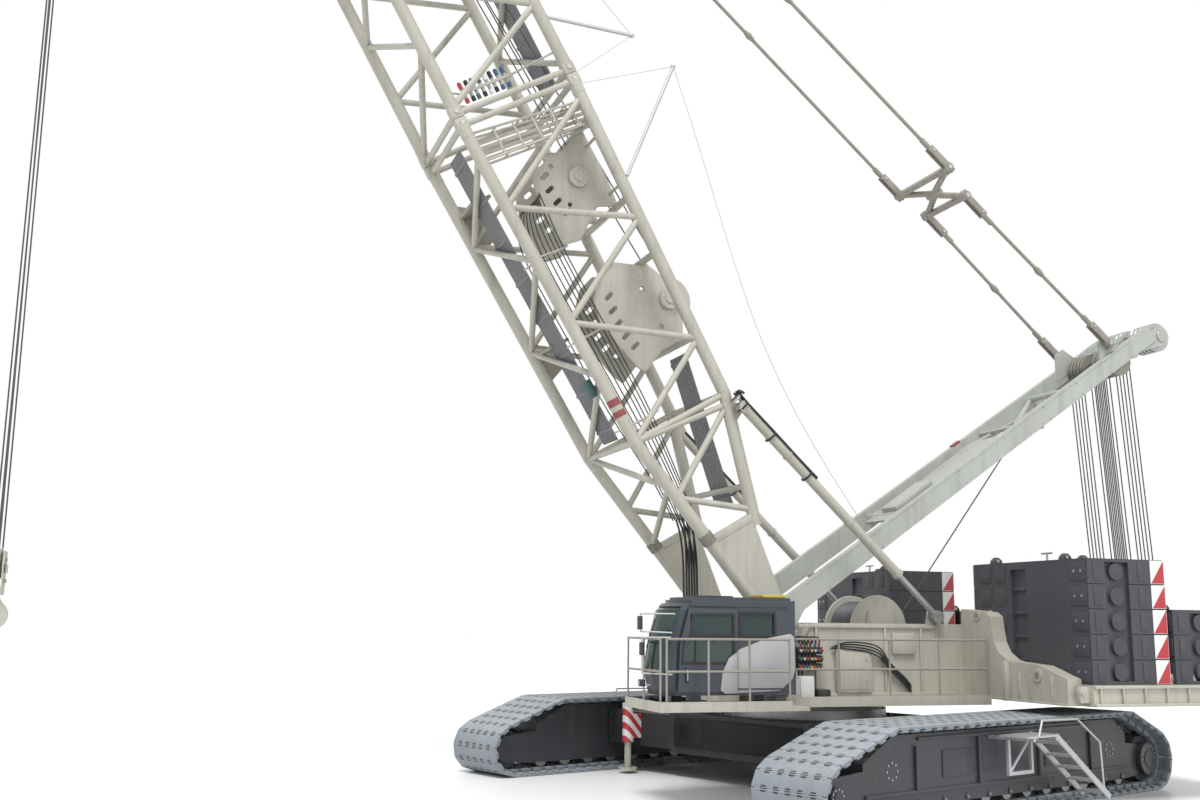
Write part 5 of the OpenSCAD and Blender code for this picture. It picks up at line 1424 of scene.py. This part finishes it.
def make_cab_outside():
    """Wiper, mirrors on their loops, lamp and roof panels of the cab, and the floor gratings."""
    bm = bmesh.new()
    tube(bm, (2.3, -4.34, 2.22), (2.3, -4.3, 2.22), 0.03)
    tube(bm, (2.3, -4.345, 2.22), (2.52, -4.3, 2.9), 0.009, 8)
    tube(bm, (2.44, -4.335, 2.62), (2.6, -4.235, 3.12), 0.012, 6)
    mirror = [(2.93, -4.0, 3.2), (2.78, -4.58, 3.2), (2.78, -4.58, 2.9), (2.93, -4.06, 2.88)]
    chain(bm, mirror, 0.014, 10, 1)
    block(bm, (2.66, -4.6, 2.93), (2.86, -4.565, 3.16), 0, 0.014)
    loop = [(2.93, -4.08, 2.8), (2.8, -4.56, 2.8), (2.8, -4.56, 2.2), (2.93, -4.05, 2.18)]
    chain(bm, loop, 0.014, 10, 1)
    block(bm, (2.72, -4.585, 2.5), (2.9, -4.55, 2.72), 0, 0.014)
    block(bm, (2.7, -4.6, 1.98), (2.84, -4.5, 2.1), 0, 0.02)
    tube(bm, (2.77, -4.605, 2.04), (2.77, -4.6, 2.04), 0.045, 16, 2)
    tube(bm, (2.77, -4.5, 2.0), (2.77, -4.4, 2.0), 0.014, 8, 1)
    block(bm, (2.3, -2.3, 3.5), (2.88, -1.85, 3.56), 3, 0.02)
    block(bm, (1.9, -3.4, 3.5), (2.6, -2.75, 3.528), 0, 0.012)
    add_piece("cab_fittings", bm, "superstructure",
              ["rubber", "zinc steel", "lamp glass", "yellow paint"])
    bm = bmesh.new()
    for k in range(9):
        x = 1.62 + k * 0.18
        block(bm, (x, -4.38, DECK_TOP + 0.001), (x + 0.05, -1.72, DECK_TOP + 0.012))
    for y in (-4.2, -3.5, -2.8, -2.1):
        block(bm, (1.6, y, DECK_TOP + 0.0001), (3.31, y + 0.03, DECK_TOP + 0.006))
    for k in range(5):
        x = 1.62 + k * 0.17
        block(bm, (x, -1.6, DECK_TOP + 0.001), (x + 0.05, 2.6, DECK_TOP + 0.012))
    add_piece("floor_gratings", bm, "superstructure", ["zinc steel"])


# Deck

GIRDER_FACE = 1.55
VALVE_START = -1.04
VALVE_PITCH = 0.075


def make_deck():
    """Flanges, covers, valves and hoses along the near girder, and the same flanges on the far one."""
    bm = bmesh.new()
    for side in (-1, 1):
        x0, x1 = side * 1.552, side * 1.592
        beam(bm, (side * 1.572, 2.12, 3.02), (side * 1.572, -0.92, 3.02), 0.04, 0.07, 0, 0.008)
        block(bm, (x0, -1.6, 1.7), (x1, 2.5, 1.78), 0, 0.008)
        for y in (-0.55, 0.95, 1.75):
            block(bm, (x0, y - 0.02, 1.78), (x1, y + 0.02, 2.985), 0, 0.006)
        bolt_ring(bm, (side * GIRDER_FACE, -1.134, 2.745), (side, 0, 0), 0.24, 12, 0.018, 1)
        disc(bm, (0, -1.134, 2.745), 0.19, side * (GIRDER_FACE + 0.0002), side * 1.586)
        bolt_ring(bm, (side * GIRDER_FACE, 2.09, 2.95), (side, 0, 0), 0.12, 8, 0.016, 1)
        disc(bm, (0, 2.09, 3.22), 0.1, side * 1.702, side * 1.716, 1)
    wall = GIRDER_FACE + 0.0002
    block(bm, (wall, -0.15, 1.78), (1.66, 0.6, 2.6), 0, 0.02)
    block(bm, (1.66, -0.1, 1.84), (1.676, 0.55, 2.54), 0, 0.01)
    for z in (2.0, 2.4):
        tube(bm, (1.676, 0.47, z), (1.69, 0.47, z), 0.022, 10, 1)
    beam(bm, (1.59, 0.86, 2.48), (1.59, 1.4, 2.04), 0.05, 0.07, 0, 0.006)
    block(bm, (wall, 1.1, 2.5), (1.62, 1.6, 2.9), 0, 0.015)
    block(bm, (1.62, -1.08, DECK_TOP + 0.0005), (1.93, -0.79, 2.1), 3, 0.02)
    block(bm, (1.62, -0.72, DECK_TOP + 0.0005), (1.95, -0.46, 1.86), 2, 0.02)
    for row, colours in enumerate(((4, 5, 6, 7, 4, 5, 8), (5, 1, 4, 1, 7, 4, 5), (1, 4, 5, 8, 1, 6, 4))):
        z = 2.2 + row * 0.15
        for k, index in enumerate(colours):
            y = VALVE_START + k * VALVE_PITCH
            block(bm, (wall, y - 0.03, z), (1.84, y + 0.03, z + 0.13), 2, 0.008)
            tube(bm, (1.84, y, z + 0.065), (1.9, y, z + 0.065), 0.026, 12, index)
            if row == 2:
                tube(bm, (1.75, y, z + 0.13), (1.75, y, 2.7), 0.022, 12, index)
    add_piece("deck_fittings", bm, "superstructure",
              ["beige paint", "bare steel", "black paint", "white paint", "red paint", "green cap",
               "blue cap", "yellow paint", "brass fitting"])
    bm = bmesh.new()
    lines = []
    for k in range(7):
        y = VALVE_START + k * VALVE_PITCH
        lines.append([(1.78, y, 2.7), (1.79, y, 2.82), (1.74, y - 0.12, 2.88),
                      (1.68, y - 0.3, 2.6 - 0.05 * k), (1.64, y - 0.35, 2.1), (1.68, y - 0.2, 1.66)])
    for k in range(4):
        x, drop = 1.69 - 0.012 * (k % 2), k * 0.045
        lines.append([(1.6, -0.25, 2.6), (x, -0.09, 2.74 - drop), (x, 0.4, 2.72 - drop),
                      (x, 0.78, 2.66 - drop * 1.5), (x, 0.9, 2.42 - drop), (1.66, 1.1, 2.22 - drop),
                      (1.63, 1.36, 2.04 - drop), (1.58, 1.5, 1.9 - drop)])
    hose_mesh(bm, lines, 0.015)
    add_piece("deck_hoses", bm, "superstructure", ["rubber"])


# Outlines of the tray's lugs, from their middles along y.
FRONT_LUG = ((-0.05, 1.75), (0.16, 1.75), (0.16, 2.02), (0, 2.04), (-0.05, 1.95))
TRAY_LUG = ((-0.12, 2.06), (0.12, 2.06), (0.12, 2.14), (0.08, 2.22), (0, 2.25), (-0.08, 2.22), (-0.12, 2.14))


def make_rear_frame():
    """Post, ribs and pins of the cross frame ahead of the stacks, and the tray's flanges and lugs."""
    bm = bmesh.new()
    for side in (-1, 1):
        block(bm, (side * 2.93, 2.6, 1.69), (side * 3.04, 2.72, 2.42), 0, 0.01)
        block(bm, (side * 1.56, 2.69, 1.69), (side * 4.6, 2.72, 1.73), 0, 0.006)
        for x, z, r in ((2.07, 3.26, 0.1), (3.81, 2.19, 0.12)):
            for y in (2.71, 3.03):
                tube(bm, (side * x, y - 0.012, z), (side * x, y + 0.012, z), r, 24)
                tube(bm, (side * x, y - 0.02, z), (side * x, y + 0.02, z), r * 0.5, 16, 1)
        for x in (3.3, 3.6, 4.2):
            block(bm, (side * x - 0.02, 2.69, 1.73), (side * x + 0.02, 2.72, 2.2), 0, 0.005)
    add_piece("rear_frame_ribs", bm, "superstructure", ["beige paint", "bare steel"])
    bm = bmesh.new()
    for side in (-1, 1):
        x0, x1 = side * 4.89, side * 4.94
        block(bm, (x0, 3.03, 2.0), (x1, 7.1, 2.055), 0, 0.008)
        block(bm, (x0, 3.03, 1.695), (x1, 7.1, 1.745), 0, 0.008)
        for k in range(9):
            y = 3.15 + k * 0.48
            block(bm, (x0, y - 0.012, 1.74), (x1, y + 0.012, 2.0), 0, 0.004)
        for y, z, outline in ((2.87, 1.9, FRONT_LUG), (4.85, 2.15, TRAY_LUG), (5.25, 2.15, TRAY_LUG)):
            plate(bm, [(y + a, b) for a, b in outline], side * 4.68, side * 4.8, 0, 0.01)
            pin(bm, side * 4.66, side * 4.82, y, z, 0.04, 14, 1)
    for x in (-4.2, -3.0, 3.0, 4.2):
        block(bm, (x - 0.02, 7.12, 1.72), (x + 0.02, 7.15, 2.04), 0, 0.004)
    block(bm, (-4.9, 7.12, 2.0), (4.9, 7.16, 2.05), 0, 0.008)
    add_piece("tray_ribs", bm, "superstructure", ["beige paint", "bare steel"])


# Stacks: front and rear faces, number of blocks.
STACKS = ((3.04, 4.73, 5), (4.86, 6.55, 3))
BLOCK_HEIGHT = 0.44
STACK_FLOOR = 2.0603
STACK_FACE = 4.87
LIFTING_LUG = ((-0.14, 0), (0.14, 0), (0.12, 0.07), (0.05, 0.13), (-0.05, 0.13), (-0.12, 0.07))


def make_stacks():
    """Bosses, corner panels, lifting lugs and warning strips of the weight stacks."""
    bm = bmesh.new()
    strips = bmesh.new()
    for side in (-1, 1):
        face = side * STACK_FACE
        for front, rear, count in STACKS:
            top = STACK_FLOOR + count * BLOCK_HEIGHT
            for k in range(count):
                z = STACK_FLOOR + k * BLOCK_HEIGHT
                disc(bm, (0, front + 0.64, z + 0.21), 0.15, face - side * 0.08, face - side * 0.006)
                disc(bm, (0, front + 0.64, z + 0.21), 0.07, face - side * 0.06, face - side * 0.001)
                for y in (front + 0.12, front + 1.1):
                    block(bm, (face, y, z + 0.05), (face + side * 0.012, y + 0.14, z + 0.38), 0, 0.01)
                block(bm, (side * 4.42, front - 0.014, z + 0.05), (side * 4.84, front, z + 0.38), 0, 0.012)
                for x in (side * 4.54, side * 4.72):
                    tube(bm, (x, front - 0.022, z + 0.22), (x, front - 0.012, z + 0.22), 0.025, 14, 1)
                for x in (1.8, 2.25):
                    block(bm, (side * x, front - 0.01, z + 0.06), (side * (x + 0.32), front, z + 0.37),
                          0, 0.012)
                block(bm, (side * 2.76, front + 0.03, z + 0.34), (side * 3.14, front + 0.069, z + 0.4),
                      0, 0.01)
                if count > 4:
                    strip_top = z + BLOCK_HEIGHT
                    corners = ((rear - 0.3, z + 0.02), (rear - 0.012, z + 0.02),
                               (rear - 0.012, strip_top - 0.02))
                    for wall, out in ((face, side), (side * 1.56, -side)):
                        block(strips, (wall + out * 0.002, rear - 0.31, z + 0.012),
                              (wall + out * 0.007, rear - 0.004, strip_top - 0.012), 1)
                        plate(strips, corners, wall + out * 0.007, wall + out * 0.01)
            for x, y in ((side * 2.05, front + 0.2), (side * 3.6, rear - 0.7), (side * 3.95, front + 0.3)):
                plate(bm, [(y + a, top + b) for a, b in LIFTING_LUG], x - 0.03, x + 0.03, 0, 0.012)
                pin(bm, x - 0.06, x + 0.06, y, top + 0.06, 0.028, 12, 1)
            y = front + 0.5
            tube(bm, (side * 3.2, y, top), (side * 3.2, y, top + 0.17), 0.02, 10, 1)
            pin(bm, side * 3.05, side * 3.35, y, top + 0.17, 0.018, 10, 1)
    add_piece("stack_fittings", bm, "superstructure", ["casting paint", "bare steel"])
    add_piece("warning_strips", strips, "superstructure", ["red paint", "white paint"])


# Crawler frames and carbody

ROLLERS = 13
ROLLER_END = 3.71
ROLLER_Z = 0.2803
FRAME_FACE = 4.65


def make_crawler_frames():
    """Ribs, roller caps, covers and bolted hubs of the crawler frames."""
    bm = bmesh.new()
    for side, name in reversed(SIDES):
        face = side * FRAME_FACE
        for k in range(ROLLERS):
            y = -ROLLER_END + 2 * ROLLER_END * k / (ROLLERS - 1)
            disc(bm, (0, y, ROLLER_Z), 0.062, face, face + side * 0.02, 0, 16)
            pin(bm, face + side * 0.02, face + side * 0.028, y, ROLLER_Z, 0.022, 6, 1)
        for y, top in ((-2.6, 1.16), (-0.9, 1.3), (0.9, 1.3), (2.6, 1.16)):
            block(bm, (face, y - 0.03, 0.46), (face + side * 0.05, y + 0.03, top), 0, 0.008)
        block(bm, (face, -3.88, 0.43), (face + side * 0.045, 3.88, 0.475), 0, 0.008)
        block(bm, (face, -2.55, 1.24), (face + side * 0.045, 2.55, 1.29), 0, 0.008)
        hub = face + side * 0.098
        for kind, centre, r, count in (
                ("drive_wheel", REAR_WHEEL, 0.3, 16), ("idler", FRONT_WHEEL, 0.15, 10)):
            cap = bmesh.new()
            bolt_ring(cap, (hub, centre.y, centre.z), (side, 0, 0), r * 0.82, count, 0.017, 1)
            disc(cap, (0, centre.y, centre.z), r * 0.5, hub, hub + side * 0.014)
            wheel = f"{kind}_{name}"
            add_piece(f"{wheel}_bolts", cap, wheel, ["charcoal paint", "bare steel"], TURNED)
        for y in (-3.2, 3.3):
            bolt_ring(bm, (face, y, 0.8), (side, 0, 0), 0.13, 8, 0.02, 1)
        for y in (-1.9, 1.1):
            block(bm, (face, y, 0.62), (face + side * 0.02, y + 0.8, 1.06), 0, 0.015)
    add_piece("crawler_frame_ribs", bm, "undercarriage",
              ["charcoal paint", "bare steel"], TURNED)


def make_carbody():
    """Flanges, covers, drive hoses and bolted beam ends of the carbody."""
    bm = bmesh.new()
    for side in (-1, 1):
        for end in (-1, 1):
            block(bm, (-1.7, end * 1.95, 0.62), (1.7, end * 1.99, 1.18), 0, 0.012)
            y = end * 1.475
            block(bm, (side * 3.66, y - 0.52, 0.5), (side * 3.745, y + 0.52, 1.25), 0, 0.015)
            for z in (0.6, 1.13):
                for k in range(5):
                    pin(bm, side * 3.65, side * 3.635, y - 0.46 + k * 0.23, z, 0.026, 6, 1)
        block(bm, (side * 1.2 - 0.3, -1.99, 0.75), (side * 1.2 + 0.3, -1.985, 1.1), 0, 0.004)
    for k in range(36):
        x, y = 1.72 * math.cos(math.tau * k / 36), 1.72 * math.sin(math.tau * k / 36)
        tube(bm, (x, y, 1.27), (x, y, 1.3), 0.025, 6, 1)
    lines = []
    for k in range(5):
        x = 1.9 + 0.05 * k
        lines.append([(x, -1.98, 1.0), (x + 0.1, -2.12, 0.9), (x + 0.5, -2.1, 0.62 - 0.02 * k),
                      (x + 1.1, -2.08, 0.7), (x + 1.4, -1.98, 0.85)])
    hose_mesh(bm, lines, 0.018, 2)
    block(bm, (1.86, -2.05, 0.92), (2.2, -1.96, 1.06), 0, 0.01)
    block(bm, (3.2, -2.05, 0.78), (3.62, -1.96, 0.94), 0, 0.01)
    add_piece("carbody_plates", bm, "undercarriage",
              ["black paint", "bare steel", "rubber"], TURNED)
    bm = bmesh.new()
    for side in (-1, 1):
        x0 = side * 5.03
        for k in range(5):
            y, z = 0.15 + 0.322 * (k + 0.62), 1.29 - 0.222 * (k + 0.62)
            for j in range(5):
                edge = y - 0.1 + j * 0.045
                block(bm, (x0, edge, z - 0.03), (side * 5.48, edge + 0.015, z - 0.018))
        for j in range(12):
            edge = -0.75 + j * 0.079
            block(bm, (x0, edge, 1.2702), (side * 5.5, edge + 0.015, 1.281))
    add_piece("step_treads", bm, "undercarriage", ["zinc steel"], TURNED)


def make_far_side():
    """Louvre blades, doors, exhaust and fillers of the power pack, and its roof panels."""
    bm = bmesh.new()
    for k in range(6):
        y = -1.55 + k * 0.26
        for j in range(7):
            z = 2.14 + j * 0.08
            block(bm, (-3.365, y, z), (-3.33, y + 0.15, z + 0.03), 0, 0.004)
    for y0, y1 in ((0.1, 0.95), (1.05, 1.9), (1.95, 2.6)):
        block(bm, (-3.366, y0, 1.75), (-3.351, y1, 2.9), 0, 0.012)
        block(bm, (-3.376, y0 + 0.06, 2.28), (-3.366, y0 + 0.1, 2.42), 1, 0.004)
    for y0, y1 in ((-1.85, -0.4), (-0.3, 1.1), (1.2, 2.55)):
        block(bm, (-3.25, y0, 3.02), (-1.65, y1, 3.034), 0, 0.01)
    tube(bm, (-2.2, 1.9, 3.02), (-2.2, 1.9, 3.4), 0.09, 20, 2)
    tube(bm, (-2.2, 1.9, 3.4), (-2.2, 2.02, 3.52), 0.08, 20, 2)
    ball(bm, (-2.2, 1.9, 3.4), 0.085, 2, 8)
    tube(bm, (-3.0, -1.5, 3.02), (-3.0, -1.5, 3.1), 0.06, 16, 1)
    add_piece("power_pack_fittings", bm, "superstructure", ["beige paint", "bare steel", "rubber"])


# Boom's head and hook block

def make_head_and_hook():
    """Guards, pins and bolts of the boom's head, and the cheeks' details on the hook block."""
    bm = bmesh.new()
    for side in (-1, 1):
        for u, v, r in ((27.2, 0.04, 0.16), (27.57, 1.29, 0.1)):
            disc(bm, (0, -u, v), r, side * 0.7202, side * 0.75)
            bolt_ring(bm, (side * 0.75, -u, v), (side, 0, 0), r * 0.7, 8, 0.014, 1)
        beam(bm, (side * 0.73, -26.6, 0.7), (side * 0.73, -27.5, 1.35), 0.02, 0.06, 0, 0.004)
    for u, v in ((26.75, 0.62), (27.35, 0.95)):
        tube(bm, (-0.7, -u, v), (0.7, -u, v), 0.045, 14)
    add_piece("head_fittings", bm, "boom", ["beige paint", "bare steel"], BOOM)
    low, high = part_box("hook_block")
    middle = (low + high) / 2
    top = high.z
    bm = bmesh.new()
    for side in (-1, 1):
        y = middle.y + side * 0.145
        for x, z in ((0, -0.2), (-0.1, -0.55), (0.1, -0.55)):
            tube(bm, (x, y - side * 0.01, top + z), (x, y + side * 0.014, top + z), 0.03, 12, 1)
        block(bm, (-0.13, y, top - 0.42), (0.13, y + side * 0.02, top - 0.28), 0, 0.008)
    add_piece("hook_block_fittings", bm, "hook_block", ["beige paint", "bare steel"])


# Operators and panel

class CRANE_OT_stage(bpy.types.Operator):
    """Adds the camera, the floor and the lights"""

    bl_idname = "crane.stage"
    bl_label = "Stage"

    def execute(self, context):
        make_stage(context.scene)
        return {"FINISHED"}


class CRANE_OT_finishes(bpy.types.Operator):
    """Makes the finishes and gives them to the frame's own pieces"""

    bl_idname = "crane.finishes"
    bl_label = "Finishes"

    def execute(self, context):
        make_finishes(context.scene.crane_paint)
        finish_nodes()
        return {"FINISHED"}


class CRANE_OT_boom(bpy.types.Operator):
    """Adds the round tubes of the lattice boom"""

    bl_idname = "crane.boom"
    bl_label = "Boom lattice"

    def execute(self, context):
        make_boom(context.scene.crane_sizes)
        return {"FINISHED"}


class CRANE_OT_tracks(bpy.types.Operator):
    """Adds the shoes of both tracks"""

    bl_idname = "crane.tracks"
    bl_label = "Track shoes"

    def execute(self, context):
        make_tracks(context.scene.crane_sizes)
        return {"FINISHED"}


class CRANE_OT_drums(bpy.types.Operator):
    """Adds the wound drums"""

    bl_idname = "crane.drums"
    bl_label = "Drums and ropes"

    def execute(self, context):
        make_drums()
        return {"FINISHED"}


class CRANE_OT_hoists(bpy.types.Operator):
    """Adds the hoists' pierced side plates"""

    bl_idname = "crane.hoists"
    bl_label = "Hoist frames"

    def execute(self, context):
        make_hoist_frames()
        return {"FINISHED"}


class CRANE_OT_walkways(bpy.types.Operator):
    """Adds the boards of the boom's walkways"""

    bl_idname = "crane.walkways"
    bl_label = "Boom walkways"

    def execute(self, context):
        make_catwalk(context.scene.crane_sizes)
        return {"FINISHED"}


class CRANE_OT_boom_hoses(bpy.types.Operator):
    """Adds the hoses in the boom with their stands"""

    bl_idname = "crane.boom_hoses"
    bl_label = "Boom hoses"

    def execute(self, context):
        make_boom_hoses()
        make_hose_brackets()
        return {"FINISHED"}


class CRANE_OT_boom_fittings(bpy.types.Operator):
    """Adds the boom's panels, rails and stand-off struts"""

    bl_idname = "crane.boom_fittings"
    bl_label = "Boom fittings"

    def execute(self, context):
        make_boom_fittings(context.scene.crane_sizes)
        make_boom_ropes(context.scene.crane_sizes)
        return {"FINISHED"}


class CRANE_OT_pendants(bpy.types.Operator):
    """Adds the link plates of the pendants"""

    bl_idname = "crane.pendants"
    bl_label = "Pendant links"

    def execute(self, context):
        make_pendant_links()
        return {"FINISHED"}


class CRANE_OT_mast(bpy.types.Operator):
    """Adds the mast's fittings and its ropes"""

    bl_idname = "crane.mast"
    bl_label = "Mast"

    def execute(self, context):
        make_mast_fittings()
        make_luffing_ropes(context.scene.crane_sizes)
        return {"FINISHED"}


class CRANE_OT_backstops(bpy.types.Operator):
    """Adds the backstops' collars and hoses"""

    bl_idname = "crane.backstops"
    bl_label = "Backstops"

    def execute(self, context):
        make_backstop_fittings()
        return {"FINISHED"}


class CRANE_OT_cab(bpy.types.Operator):
    """Adds the cab's panels, glass, seat, mirrors and lamps"""

    bl_idname = "crane.cab"
    bl_label = "Cab"

    def execute(self, context):
        make_cab_skin()
        make_cab_inside()
        make_cab_outside()
        return {"FINISHED"}


class CRANE_OT_deck(bpy.types.Operator):
    """Adds flanges, valves and hoses of the deck"""

    bl_idname = "crane.deck"
    bl_label = "Deck"

    def execute(self, context):
        make_deck()
        make_rear_frame()
        make_far_side()
        return {"FINISHED"}


class CRANE_OT_stacks(bpy.types.Operator):
    """Adds bosses, lugs and strips of the weight stacks"""

    bl_idname = "crane.stacks"
    bl_label = "Weight stacks"

    def execute(self, context):
        make_stacks()
        return {"FINISHED"}


class CRANE_OT_undercarriage(bpy.types.Operator):
    """Adds ribs, bolts and plates of crawlers and carbody"""

    bl_idname = "crane.undercarriage"
    bl_label = "Undercarriage"

    def execute(self, context):
        make_crawler_frames()
        make_carbody()
        return {"FINISHED"}


class CRANE_OT_head(bpy.types.Operator):
    """Adds fittings of the boom's head and the hook block"""

    bl_idname = "crane.head"
    bl_label = "Head and hook"

    def execute(self, context):
        make_head_and_hook()
        return {"FINISHED"}


STEPS = (
    CRANE_OT_stage, CRANE_OT_finishes, CRANE_OT_boom, CRANE_OT_drums, CRANE_OT_hoists,
    CRANE_OT_walkways, CRANE_OT_boom_hoses, CRANE_OT_boom_fittings, CRANE_OT_pendants,
    CRANE_OT_mast, CRANE_OT_backstops, CRANE_OT_cab, CRANE_OT_deck,
    CRANE_OT_stacks, CRANE_OT_undercarriage, CRANE_OT_head, CRANE_OT_tracks,
)


class CRANE_PT_pieces(bpy.types.Panel):
    """Lists the steps that dress the crane"""

    bl_label = "Crawler Crane"
    bl_idname = "CRANE_PT_pieces"
    bl_space_type = "VIEW_3D"
    bl_region_type = "UI"
    bl_category = "Crane"

    def draw(self, context):
        for step in STEPS:
            self.layout.operator(step.bl_idname, text=step.bl_label)


CLASSES = (CranePaint, CraneSizes, *STEPS, CRANE_PT_pieces)


def register():
    """Registers the classes and their settings."""
    for item in CLASSES:
        bpy.utils.register_class(item)
    bpy.types.Scene.crane_paint = PointerProperty(type=CranePaint)
    bpy.types.Scene.crane_sizes = PointerProperty(type=CraneSizes)


def unregister():
    """Takes the classes and their settings back out."""
    del bpy.types.Scene.crane_sizes
    del bpy.types.Scene.crane_paint
    for item in reversed(CLASSES):
        bpy.utils.unregister_class(item)


def main():
    """Dresses the crane."""
    register()
    for step in STEPS:
        getattr(bpy.ops.crane, step.bl_idname.split(".")[1])()


if __name__ == "__main__":
    main()
